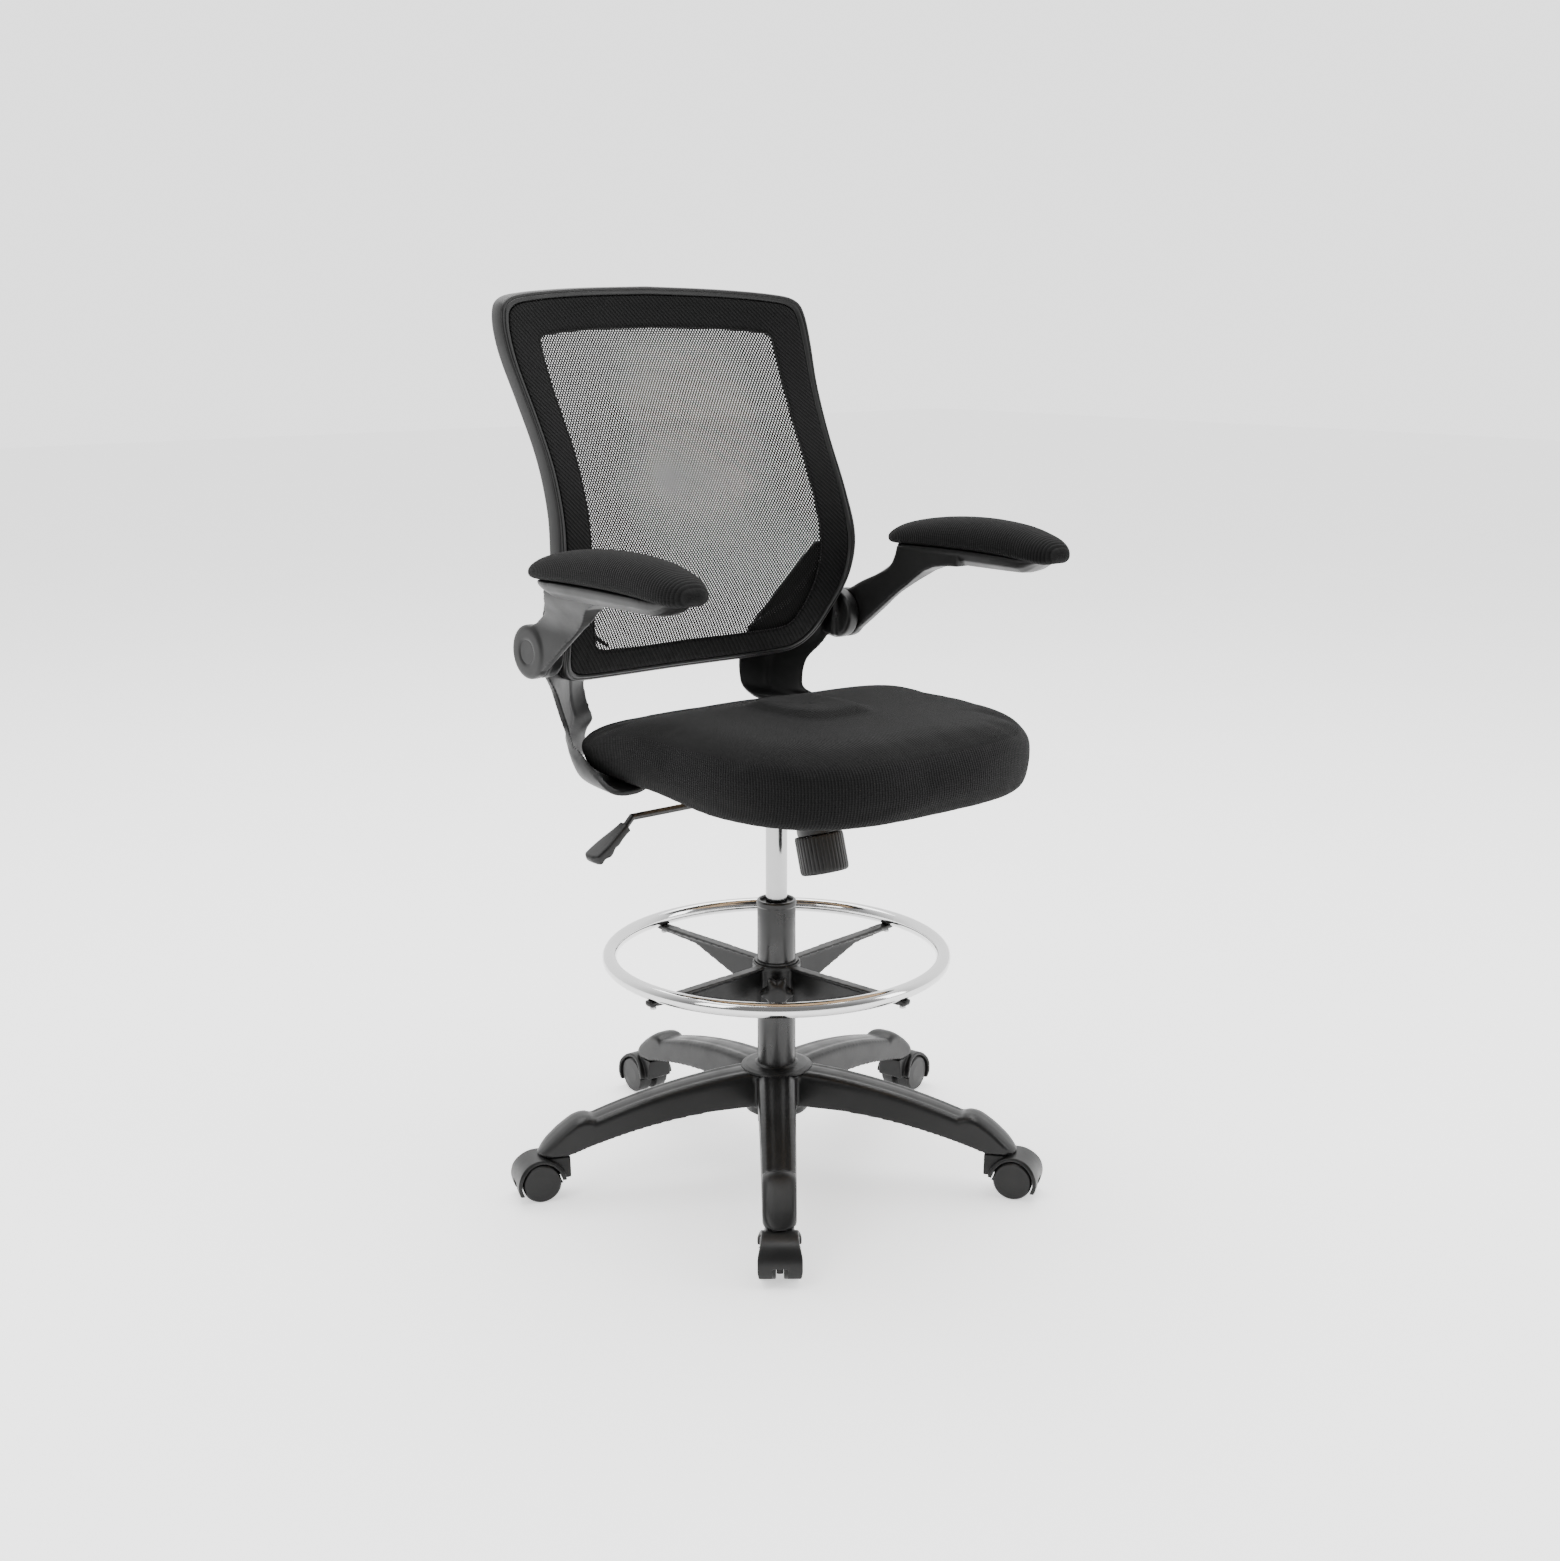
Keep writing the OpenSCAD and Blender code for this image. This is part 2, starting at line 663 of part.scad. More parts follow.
module arm_pad(side) {
    stations = [for (a = [-86:8.6:86]) sin(a)];
    color(fabric) at_side(side) loft([for (t = stations)
        let (y = pad_mid_y - pad_half_l * t,
             full = pow(1 - pow(abs(t), 3), 0.5),
             w = pad_half_w * pow(1 - pow(abs(t), 4), 0.4),
             z = tray_top(y) + 0.3)
        [for (k = [0:15]) let (a = 180 * k / 15)
            [pad_x + w * cos(a) * pow(max(sin(a), 0.02), 0.12), y,
             z + pad_rise * full * pow(sin(a) + 1e-6, 0.6)]]]);
}
module arm_pad_left() { arm_pad(1); }
module arm_pad_right() { arm_pad(-1); }

// ---- foot ring ----

liner_r = 28;
collar_r = 31.5;
hub_z0 = 230;
hub_z1 = 283.5;
ring_turn = 45 + first_leg;
knob_stud_z = 256;

module ring_liner() {
    color(pale) tube(liner_r, tube_r + run_gap, hub_z0 - 4, hub_z1 + 2.5);
}

module ring_hub() {
    spoke = [[20, hub_z0 + 2], [36, hub_z0 + 1], [150, ring_z - 21], [ring_r + 6, ring_z - 17],
             [ring_r + 9, ring_z - 14], [ring_r + 9, ring_z - ring_tube_r - 1],
             [ring_r + 8, ring_z - ring_tube_r], [20, ring_z - ring_tube_r - 3]];
    color(dark) difference() {
        union() {
            translate([0, 0, hub_z0]) cylinder(r = 31, h = hub_z1 - hub_z0 - 6);
            translate([0, 0, hub_z1 - 7]) cylinder(r = collar_r, h = 7);
            for (i = [0:3]) rotate([0, 0, ring_turn + 90 * i]) {
                rotate([90, 0, 0]) linear_extrude(9, center = true) polygon(spoke);
                intersection() {
                    translate([24, -7.5, ring_z - ring_tube_r - 5])
                        cube([ring_r - 17, 15, 5]);
                    rotate([90, 0, 0]) linear_extrude(20, center = true) polygon(spoke);
                }
            }
            rotate([0, 0, first_leg - 90]) translate([0, 0, knob_stud_z])
                x_pin(9, 24, 38);
        }
        translate([0, 0, 200]) cylinder(r = liner_r + run_gap, h = 120);
        rotate([0, 0, first_leg - 90]) translate([0, 0, knob_stud_z]) x_pin(4.05, 20, 50);
        for (i = [0:3]) rotate([0, 0, ring_turn + 90 * i])
            translate([ring_r, 0, 240]) cylinder(r = 2.5, h = 60);
    }
}

module ring_tube() {
    color(chrome) translate([0, 0, ring_z]) rotate_extrude($fn = 128)
        translate([ring_r, 0]) circle(ring_tube_r, $fn = 48);
}

module ring_screws() {
    color(steel) for (i = [0:3]) rotate([0, 0, ring_turn + 90 * i])
        translate([ring_r, 0, 0])
            screw_up(4, ring_z - 20.5, 2.5, 2.45, ring_z - ring_tube_r);
}

// Lobed hand knob that clamps the foot ring to the column
module ring_knob() {
    color(black) rotate([0, 0, first_leg - 90]) translate([0, 0, knob_stud_z]) {
        x_pin(4, 29, 60);
        translate([40, 0, 0]) rotate([0, 90, 0]) difference() {
            union() {
                linear_extrude(22) union() {
                    circle(17.5);
                    for (a = [0:60:300]) rotate(a) translate([14, 0]) circle(7.2, $fn = 32);
                }
                translate([0, 0, 22 - tiny]) cylinder(r = 13, h = 2.5);
            }
        }
    }
}

// ---- casters ----

hood_r = 31.5;
hood_half = 26.5;
web_half = 4;
wheel_in = 4.6;
wheel_out = 24;
axle_r = 4;

module at_caster(i) {
    rotate([0, 0, first_leg - 90 + 72 * (i - 1)]) children();
}

// Fender arc over both wheels, centre web and the block that holds the stem
module caster_hood(i) {
    axle_x = stem_reach + caster_trail;
    color(black) at_caster(i) difference() {
        union() {
            translate([axle_x, 0, wheel_r]) rotate([90, 0, 0])
                cylinder(r = hood_r, h = 2 * hood_half, center = true);
            translate([stem_reach - 22, -19, wheel_r + 2]) cube([26, 38, 28]);
            translate([stem_reach, 0, 40]) cylinder(r = 17, h = 16);
        }
        for (s = [-1, 1]) translate([axle_x, s * (web_half + 15.25), wheel_r])
            rotate([90, 0, 0]) cylinder(r = wheel_r + 1.5, h = 30.5, center = true);
        translate([0, -40, -20]) cube([axle_x + 10, 80, 32]);
        translate([axle_x - 30, -40, -20]) cube([80, 80, 31]);
        translate([stem_reach - 40, -40, -20]) cube([30, 80, 48]);
        translate([axle_x + 16, -9, -5]) cube([40, 18, 30]);
        translate([axle_x, 0, wheel_r]) rotate([90, 0, 0])
            cylinder(r = axle_r, h = 60, center = true);
        translate([stem_reach, 0, 30]) cylinder(r = 5.5, h = 60);
    }
}

module caster_stem(i) {
    color(steel) at_caster(i) {
        translate([stem_reach, 0, 53.2]) cylinder(r = 5.5, h = leg_end_z + 7.5 - 53.2);
        translate([stem_reach + caster_trail, 0, wheel_r]) rotate([90, 0, 0])
            cylinder(r = axle_r, h = 44, center = true);
    }
}

module wheel(i, side) {
    color(dark) at_caster(i) translate([stem_reach + caster_trail, 0, wheel_r])
        rotate([90, 0, 0]) scale([1, 1, 1]) mirror([0, 0, side > 0 ? 1 : 0])
            rotate_extrude() polygon([
                [axle_r + run_gap, wheel_in], [wheel_r - 1, wheel_in],
                [wheel_r, wheel_in + 1], [wheel_r, wheel_out - 3],
                [wheel_r - 2, wheel_out - 0.6], [12, wheel_out], [0, wheel_out],
                [0, 22.2], [axle_r + run_gap, 22.2]]);
}

module caster_hoods(name) {
    for (i = [1:5]) if (name == "all" || name == str("caster_hood_", i)) caster_hood(i);
}

star_base();
hub_trim_ring();
column_tube();
column_bush();
caster_sockets();
piston_rod();
thrust_bearing();
gas_cylinder();
tilt_bracket();
tilt_pivot_pin();
valve_button();
tilt_lock_plate();
lever_rod();
lever_paddle();
seat_plate();
seat_board();
seat_cushion();
side_bracket_left();
side_bracket_right();
seat_screws();
back_frame();
back_mesh();
back_band();
back_screws();
arm_pivot_pin_left();
arm_pivot_pin_right();
tension_bolt();
tension_knob();
tension_spring();
arm_left();
arm_pad_left();
arm_cap_left();
arm_right();
arm_pad_right();
arm_cap_right();
ring_liner();
ring_hub();
ring_tube();
ring_screws();
ring_knob();
caster_hood(1);  // caster_hood_1
caster_hood(2);  // caster_hood_2
caster_hood(3);  // caster_hood_3
caster_hood(4);  // caster_hood_4
caster_hood(5);  // caster_hood_5
caster_stem(1);  // caster_stem_1
caster_stem(2);  // caster_stem_2
caster_stem(3);  // caster_stem_3
caster_stem(4);  // caster_stem_4
caster_stem(5);  // caster_stem_5
wheel(1, 1);  // wheel_1_a
wheel(2, 1);  // wheel_2_a
wheel(3, 1);  // wheel_3_a
wheel(4, 1);  // wheel_4_a
wheel(5, 1);  // wheel_5_a
wheel(1, -1);  // wheel_1_b
wheel(2, -1);  // wheel_2_b
wheel(3, -1);  // wheel_3_b
wheel(4, -1);  // wheel_4_b
wheel(5, -1);  // wheel_5_b
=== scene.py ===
import json
import math

import bmesh
import bpy
import numpy as np
from mathutils import Matrix, Vector
from mathutils.geometry import tessellate_polygon


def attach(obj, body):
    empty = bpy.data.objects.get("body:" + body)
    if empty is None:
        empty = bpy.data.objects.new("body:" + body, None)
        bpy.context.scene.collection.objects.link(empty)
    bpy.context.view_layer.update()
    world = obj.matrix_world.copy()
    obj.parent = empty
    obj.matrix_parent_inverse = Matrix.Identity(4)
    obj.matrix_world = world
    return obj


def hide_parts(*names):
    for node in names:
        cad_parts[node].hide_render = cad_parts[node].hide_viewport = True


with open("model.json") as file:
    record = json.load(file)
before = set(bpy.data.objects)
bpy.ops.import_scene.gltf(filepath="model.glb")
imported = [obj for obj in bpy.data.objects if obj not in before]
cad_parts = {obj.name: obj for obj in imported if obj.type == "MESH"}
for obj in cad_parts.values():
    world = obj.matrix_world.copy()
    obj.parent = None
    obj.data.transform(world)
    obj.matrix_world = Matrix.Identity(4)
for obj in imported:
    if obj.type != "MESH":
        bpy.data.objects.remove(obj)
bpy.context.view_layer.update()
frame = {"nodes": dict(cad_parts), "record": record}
MM = 0.001
NODES = frame["nodes"]

# ---------------------------------------------------------------- camera

cam = bpy.data.objects.new("camera", bpy.data.cameras.new("camera"))
bpy.context.scene.collection.objects.link(cam)
look = Vector((0.62156, 0.74655, -0.23735)).normalized()
side = look.cross(Vector((0, 0, 1))).normalized()
upward = side.cross(look)
turn = Matrix((side, upward, -look)).transposed()
cam.matrix_world = Matrix.Translation((-1.5462, -1.8643, 1.104)) @ turn.to_4x4()
cam.data.sensor_width = 36.0
cam.data.lens = 45.05
cam.data.shift_y = 0.0058
cam.data.clip_end = 40.0
bpy.context.scene.camera = cam


# ---------------------------------------------------------------- materials

class Nodes:
    """Short names for building a node material."""

    def __init__(self, name):
        self.mat = bpy.data.materials.new(name)
        self.mat.use_nodes = True
        self.tree = self.mat.node_tree
        self.bsdf = self.tree.nodes["Principled BSDF"]

    def add(self, kind, links=None, **values):
        node = self.tree.nodes.new(kind)
        for key, value in values.items():
            if hasattr(node, key):
                setattr(node, key, value)
            else:
                node.inputs[key.replace("_", " ").title()].default_value = value
        for key, source in (links or {}).items():
            self.tree.links.new(source, node.inputs[key])
        return node

    def link(self, output, socket):
        self.tree.links.new(output, self.bsdf.inputs[socket])

    def set(self, **values):
        for key, value in values.items():
            self.bsdf.inputs[key.replace("_", " ")].default_value = value

    def math(self, operation, a, b=None):
        node = self.tree.nodes.new("ShaderNodeMath")
        node.operation = operation
        for i, v in enumerate((a, b)):
            if v is None:
                continue
            if isinstance(v, (int, float)):
                node.inputs[i].default_value = v
            else:
                self.tree.links.new(v, node.inputs[i])
        return node.outputs[0]

    def ramp(self, source, stops):
        node = self.tree.nodes.new("ShaderNodeValToRGB")
        self.tree.links.new(source, node.inputs[0])
        elements = node.color_ramp.elements
        while len(elements) < len(stops):
            elements.new(0.5)
        for element, (position, colour) in zip(elements, stops):
            element.position = position
            element.color = (*colour, 1.0)
        return node.outputs["Color"]

    def noise(self, scale, detail=3.0, vector=None):
        node = self.tree.nodes.new("ShaderNodeTexNoise")
        node.inputs["Scale"].default_value = scale
        node.inputs["Detail"].default_value = detail
        self.tree.links.new(vector or self.coords(), node.inputs["Vector"])
        return node.outputs["Fac"]

    def coords(self):
        return self.add("ShaderNodeTexCoord").outputs["Object"]

    def bump(self, height, distance, strength=1.0):
        node = self.tree.nodes.new("ShaderNodeBump")
        node.inputs["Strength"].default_value = strength
        node.inputs["Distance"].default_value = distance
        self.tree.links.new(height, node.inputs["Height"])
        self.tree.links.new(node.outputs["Normal"], self.bsdf.inputs["Normal"])


def grey(v):
    return (v, v, v)


def plastic(name, tone, rough, grain=0.00006, pore_scale=1400.0):
    """Moulded plastic: fine spark texture, faint tone changes and edges a touch paler."""
    n = Nodes(name)
    tone_noise = n.noise(9.0, 4.0)
    tone_low, tone_high = grey(tone * 0.86), grey(tone * 1.16)
    base = n.ramp(tone_noise, [(0.3, tone_low), (0.7, tone_high)])
    point = n.add("ShaderNodeNewGeometry").outputs["Pointiness"]
    edge = n.ramp(point, [(0.5, (0, 0, 0)), (0.56, (1, 1, 1))])
    mixed = n.add("ShaderNodeMix", data_type="RGBA")
    n.tree.links.new(n.math("MULTIPLY", edge, 0.35), mixed.inputs[0])
    n.tree.links.new(base, mixed.inputs[6])
    mixed.inputs[7].default_value = (*grey(tone * 2.1), 1)
    n.link(mixed.outputs[2], "Base Color")
    n.link(n.ramp(n.noise(34.0, 5.0), [(0.3, grey(rough - 0.06)), (0.75, grey(rough + 0.08))]),
           "Roughness")
    n.bump(n.noise(pore_scale, 2.0), grain, 0.5)
    n.set(Specular_IOR_Level=0.28)
    return n.mat


def painted(name, tone, rough):
    """Powder-coated or painted steel: fine orange peel."""
    n = Nodes(name)
    n.link(n.ramp(n.noise(14.0, 3.0), [(0.3, grey(tone * 0.9)), (0.7, grey(tone * 1.12))]),
           "Base Color")
    n.link(n.ramp(n.noise(60.0, 4.0), [(0.3, grey(rough - 0.05)), (0.7, grey(rough + 0.06))]),
           "Roughness")
    n.bump(n.noise(420.0, 2.0), 0.00005, 0.35)
    n.set(Specular_IOR_Level=0.5)
    return n.mat


def metal(name, tone, rough, brushed=0.0):
    n = Nodes(name)
    n.link(n.ramp(n.noise(6.0, 4.0), [(0.3, grey(tone * 0.95)), (0.7, grey(tone * 1.03))]),
           "Base Color")
    n.link(n.ramp(n.noise(45.0, 6.0), [(0.3, grey(rough * 0.75)), (0.75, grey(rough * 1.4))]),
           "Roughness")
    n.set(Metallic=1.0)
    if brushed:
        n.bump(n.noise(900.0, 3.0), brushed, 0.4)
    return n.mat


def fabric(name, tone, pitch, depth, ribs=2.0, sheen=0.02):
    """Ribbed open knit: ribs run along the "rib" attribute, loops cross them."""
    n = Nodes(name)
    along = n.add("ShaderNodeAttribute", attribute_name="rib").outputs["Fac"]
    across = n.add("ShaderNodeAttribute", attribute_name="loop").outputs["Fac"]
    turn_rate = 2 * math.pi / pitch
    wale = n.math("SINE", n.math("MULTIPLY", along, turn_rate))
    broad = n.math("SINE", n.math("MULTIPLY", along, turn_rate / ribs))
    loop = n.math("SINE", n.math("MULTIPLY", across, turn_rate * 0.9))
    weave = n.math("ADD", n.math("MULTIPLY", wale, 0.25),
                   n.math("ADD", n.math("MULTIPLY", loop, 0.3),
                          n.math("MULTIPLY", broad, 0.75)))
    fuzz = n.noise(2600.0, 2.0)
    height = n.math("ADD", weave, n.math("MULTIPLY", fuzz, 0.5))
    shade = n.math("ADD", n.math("MULTIPLY", weave, 0.28),
                   n.math("ADD", n.math("MULTIPLY", n.noise(5.0, 3.0), 0.5), 0.25))
    n.link(n.ramp(shade, [(0.2, grey(tone * 0.25)), (0.85, grey(tone * 2.8))]), "Base Color")
    n.link(n.ramp(fuzz, [(0.2, grey(0.82)), (0.8, grey(0.96))]), "Roughness")
    n.bump(height, depth, 0.7)
    n.set(Sheen_Weight=sheen, Sheen_Roughness=0.45, Specular_IOR_Level=0.12)
    return n.mat


def wood(name):
    """Plywood: stretched grain with plies."""
    n = Nodes(name)
    stretch = n.add("ShaderNodeMapping", links={"Vector": n.coords()})
    stretch.inputs["Scale"].default_value = (4.0, 60.0, 300.0)
    grain = n.noise(1.0, 6.0, stretch.outputs["Vector"])
    n.link(n.ramp(grain, [(0.3, (0.30, 0.19, 0.10)), (0.7, (0.52, 0.37, 0.22))]), "Base Color")
    n.link(n.ramp(grain, [(0.3, grey(0.55)), (0.7, grey(0.72))]), "Roughness")
    n.bump(grain, 0.0002, 0.5)
    return n.mat


MATERIALS = {
    "base_plastic": plastic("base_nylon", 0.0055, 0.38),
    "black_plastic": plastic("shell_plastic", 0.0065, 0.40),
    "wheel_plastic": plastic("wheel_plastic", 0.006, 0.36),
    "liner_plastic": plastic("liner_plastic", 0.012, 0.35),
    "column_paint": painted("column_paint", 0.004, 0.3),
    "plate_paint": painted("plate_coat", 0.004, 0.45),
    "chrome": metal("chrome_plate", 0.62, 0.09),
    "steel": metal("zinc_steel", 0.42, 0.34, 0.00003),
    "board": wood("plywood"),
    "cushion_fabric": fabric("ribbed_knit", 0.0042, 0.0019, 0.0008),
    "back_fabric": fabric("mesh_yarn", 0.005, 0.0016, 0.0001, sheen=0.01),
}
SLOT_OF = {s["node"]: s["material_slot"] for s in frame["record"]["subparts"]}
for node_name, node in NODES.items():
    node.data.materials.clear()
    node.data.materials.append(MATERIALS[SLOT_OF[node_name]])


NODES["gas_cylinder"].data.materials[0] = metal("ground_chrome", 0.40, 0.17)


# ---------------------------------------------------------------- mesh helpers

def span(a, b, c, d, t):
    """One point of a Catmull-Rom curve between b and c."""
    return 0.5 * (2 * b + (c - a) * t + (2 * a - 5 * b + 4 * c - d) * t * t
                  + (3 * b - a - 3 * c + d) * t ** 3)


def smooth_line(points, per):
    p = [np.array(q, float) for q in points]
    out = []
    for i in range(len(p) - 1):
        a, d = p[max(i - 1, 0)], p[min(i + 2, len(p) - 1)]
        out += [span(a, p[i], p[i + 1], d, k / per) for k in range(per)]
    return np.array(out + [p[-1]])


def ease(t):
    t = np.clip(t, 0.0, 1.0)
    return t * t * (3 - 2 * t)


def grid_faces(rows, columns, closed_rows=False):
    """Quads of a sheet whose columns close on themselves."""
    faces = []
    for j in range(rows if closed_rows else rows - 1):
        q = (j + 1) % rows
        for i in range(columns):
            k = (i + 1) % columns
            faces.append((j * columns + i, j * columns + k, q * columns + k, q * columns + i))
    return faces


def loft(rings):
    """Vertices (mm) and faces of a closed solid through rings, with flat ends."""
    rings = [np.array(r, float) for r in rings]
    n = len(rings[0])
    faces = grid_faces(len(rings), n)
    faces.append(tuple(range(n - 1, -1, -1)))
    faces.append(tuple((len(rings) - 1) * n + i for i in range(n)))
    return np.concatenate(rings), faces


def joined(parts):
    verts, faces, start = [], [], 0
    for v, f in parts:
        verts.append(np.array(v, float))
        faces += [tuple(start + i for i in face) for face in f]
        start += len(v)
    return np.concatenate(verts), faces


def mesh_from(name, verts_mm, faces):
    mesh = bpy.data.meshes.new(name)
    mesh.from_pydata([tuple(v) for v in np.array(verts_mm) * MM], [], faces)
    mesh.validate()
    bm_fix_normals(mesh)
    return mesh


def bm_fix_normals(mesh):
    bm = bmesh.new()
    bm.from_mesh(mesh)
    bmesh.ops.recalc_face_normals(bm, faces=bm.faces)
    bm.to_mesh(mesh)
    bm.free()


def add_object(name, mesh):
    obj = bpy.data.objects.new(name, mesh)
    bpy.context.scene.collection.objects.link(obj)
    return obj


def bake_modifiers(obj):
    """Turns the object's modifiers into its mesh."""
    graph = bpy.context.evaluated_depsgraph_get()
    mesh = bpy.data.meshes.new_from_object(obj.evaluated_get(graph))
    obj.modifiers.clear()
    old = obj.data
    obj.data = mesh
    bpy.data.meshes.remove(old)
    mesh.name = obj.name
    return obj


def fuse(obj, voxel, rounds):
    """One smooth skin over overlapping solids: edges and inner corners round off."""
    remesh = obj.modifiers.new("skin", "REMESH")
    remesh.mode = "VOXEL"
    remesh.voxel_size = voxel * MM
    soft = obj.modifiers.new("soften", "SMOOTH")
    soft.factor = 0.5
    soft.iterations = rounds
    return bake_modifiers(obj)


def finish_piece(obj, body, slot, replaces=(), material=None):
    """Gives a piece its material, its body and the CAD nodes that it stands in for."""
    obj.data.materials.clear()
    obj.data.materials.append(material or MATERIALS[slot])
    obj.data.polygons.foreach_set("use_smooth", [True] * len(obj.data.polygons))
    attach(obj, body)
    if replaces:
        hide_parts(*replaces)
    return obj


def weave_coords(obj, along, across):
    """Stores where the knit's ribs and loops run, in metres."""
    for name, values in (("rib", along), ("loop", across)):
        layer = obj.data.attributes.new(name, "FLOAT", "POINT")
        layer.data.foreach_set("value", np.array(values, np.float32))


def vertex_array(obj):
    co = np.zeros(len(obj.data.vertices) * 3)
    obj.data.vertices.foreach_get("co", co)
    return co.reshape(-1, 3) / MM


def write_vertices(obj, co_mm):
    obj.data.vertices.foreach_set("co", (co_mm * MM).ravel())
    obj.data.update()


def plate(outline, x_in, x_out, cuts=3):
    """A plate in the Y-Z plane whose two faces lie at x_in(y, z) and x_out(y, z)."""
    loop = [Vector((0, y, z)) for y, z in outline]
    bm = bmesh.new()
    vs = [bm.verts.new(p) for p in loop]
    for tri in tessellate_polygon([loop]):
        bm.faces.new([vs[i] for i in tri])
    bmesh.ops.subdivide_edges(bm, edges=bm.edges[:], cuts=cuts, use_grid_fill=True)
    bmesh.ops.triangulate(bm, faces=bm.faces[:])
    bm.verts.ensure_lookup_table()
    bm.verts.index_update()
    flat = np.array([v.co[1:] for v in bm.verts])
    n = len(flat)
    tris = [tuple(v.index for v in f.verts) for f in bm.faces]
    rim = [(e.verts[0].index, e.verts[1].index) for e in bm.edges if e.is_boundary]
    bm.free()
    inner = [(x_in(y, z), y, z) for y, z in flat]
    outer = [(x_out(y, z), y, z) for y, z in flat]
    faces = tris + [tuple(n + i for i in reversed(t)) for t in tris]
    faces += [(a, b, b + n, a + n) for a, b in rim]
    return np.array(inner + outer), faces


def lathe_x(profile, y, z, steps=72):
    """A turned solid about an axis along X; profile is (x, radius) from end to end."""
    rings = []
    for x, r in profile:
        rings.append([(x, y + r * math.cos(a), z + r * math.sin(a))
                      for a in np.linspace(0, 2 * math.pi, steps, endpoint=False)])
    return loft(rings)


def mirrored_x(verts, faces):
    v = np.array(verts, float).copy()
    v[:, 0] *= -1
    return v, [tuple(reversed(f)) for f in faces]


# ---------------------------------------------------------------- back

LUMBAR_Z, LUMBAR_Y, BACK_LEAN, BACK_RISE, BACK_SAG = 795.0, 118.0, 118.0, 355.0, 28.0
FRAME_HALF = [(0, 1137), (110, 1134), (196, 1128), (231, 1120), (243, 1100), (244, 1060),
              (236, 1000), (231, 935), (234, 870), (240, 808), (234, 755), (220, 712),
              (207, 672), (191, 652), (165, 644.5), (90, 641.5), (0, 641)]
WINDOW_HALF = [(0, 1084), (100, 1082), (165, 1077), (181, 1073), (185, 1060), (183, 1000),
               (180, 940), (182, 870), (186, 800), (182, 760), (176, 732), (170, 712),
               (161, 694), (148, 687.5), (124, 685), (60, 683.5), (0, 684)]


def back_surface(x, z, behind=0.0):
    """The back's front face, or a point some way behind it."""
    x, z = np.asarray(x, float), np.asarray(z, float)
    upper = LUMBAR_Y + BACK_LEAN / 2 * (1 - np.cos(math.pi * (z - LUMBAR_Z) / BACK_RISE))
    lower = LUMBAR_Y + 0.0027 * (LUMBAR_Z - z) ** 2
    y = np.where(z > LUMBAR_Z, upper, lower) + BACK_SAG * (1 - x * x / 57600.0)
    return np.stack([x, y + behind, z], -1)


def whole_outline(half, per=7):
    line = smooth_line(half, per)
    back = line[-2:0:-1].copy()
    back[:, 0] *= -1
    return np.concatenate([line, back])


frame_line = whole_outline(FRAME_HALF)
window_line = whole_outline(WINDOW_HALF)


def border(t):
    """The line at share t of the way from the frame's outer edge to the window."""
    return frame_line * (1 - t) + window_line * t


def hoop(section):
    """A closed section swept round the back's border; section is (share, behind)."""
    rings = []
    for t, behind in section:
        line = border(t)
        rings.append(back_surface(line[:, 0], line[:, 1], behind))
    count = len(frame_line)
    return np.concatenate(rings), grid_faces(len(section), count, closed_rows=True)


frame_section = [(0.00, 3.5), (0.008, 1.6), (0.03, 0.5), (0.06, 0.1), (0.075, 0.5),
                 (0.085, 1.5), (0.095, 0.5), (0.11, 0.1), (0.17, 0.3), (0.195, 1.4),
                 (0.20, 3.0), (0.205, 4.6), (0.23, 5.0), (0.88, 5.0), (0.90, 5.6),
                 (0.90, 8.4), (0.88, 9.0), (0.26, 9.0), (0.225, 10.5), (0.205, 14.0),
                 (0.20, 22.0), (0.185, 24.6), (0.15, 25.8), (0.09, 26.0), (0.03, 25.6),
                 (0.008, 24.2), (0.0, 22.0), (0.0, 12.0)]
rim = add_object("back_rim", mesh_from("back_rim", *hoop(frame_section)))
finish_piece(rim, "seat", "black_plastic", ["back_frame"])

band_section = [(0.215, 2.6), (0.225, 1.2), (0.25, 0.5), (0.40, 0.25), (0.60, 0.2),
                (0.85, 0.3), (0.925, 0.5), (0.94, 1.1), (0.955, 0.5), (0.985, 0.7),
                (1.0, 1.6), (0.985, 2.9), (0.6, 3.1), (0.25, 3.1)]
band = add_object("back_border", mesh_from("back_border", *hoop(band_section)))
band_co = vertex_array(band)
weave_coords(band, (band_co[:, 0] + band_co[:, 2]) * MM, (band_co[:, 0] - band_co[:, 2]) * MM)
border_knit = fabric("border_knit", 0.0038, 0.0032, 0.0006, ribs=2.0, sheen=0.015)
finish_piece(band, "seat", "cushion_fabric", ["back_band"], border_knit)


def inside(points, outline):
    """Even-odd test of many points against one closed outline."""
    x, z = points[:, 0], points[:, 1]
    hit = np.zeros(len(points), bool)
    for (x0, z0), (x1, z1) in zip(outline, np.roll(outline, -1, 0)):
        crosses = (z0 > z) != (z1 > z)
        if not crosses.any():
            continue
        at = (x1 - x0) * (z - z0) / (z1 - z0 + 1e-12) + x0
        hit ^= crosses & (x < at)
    return hit


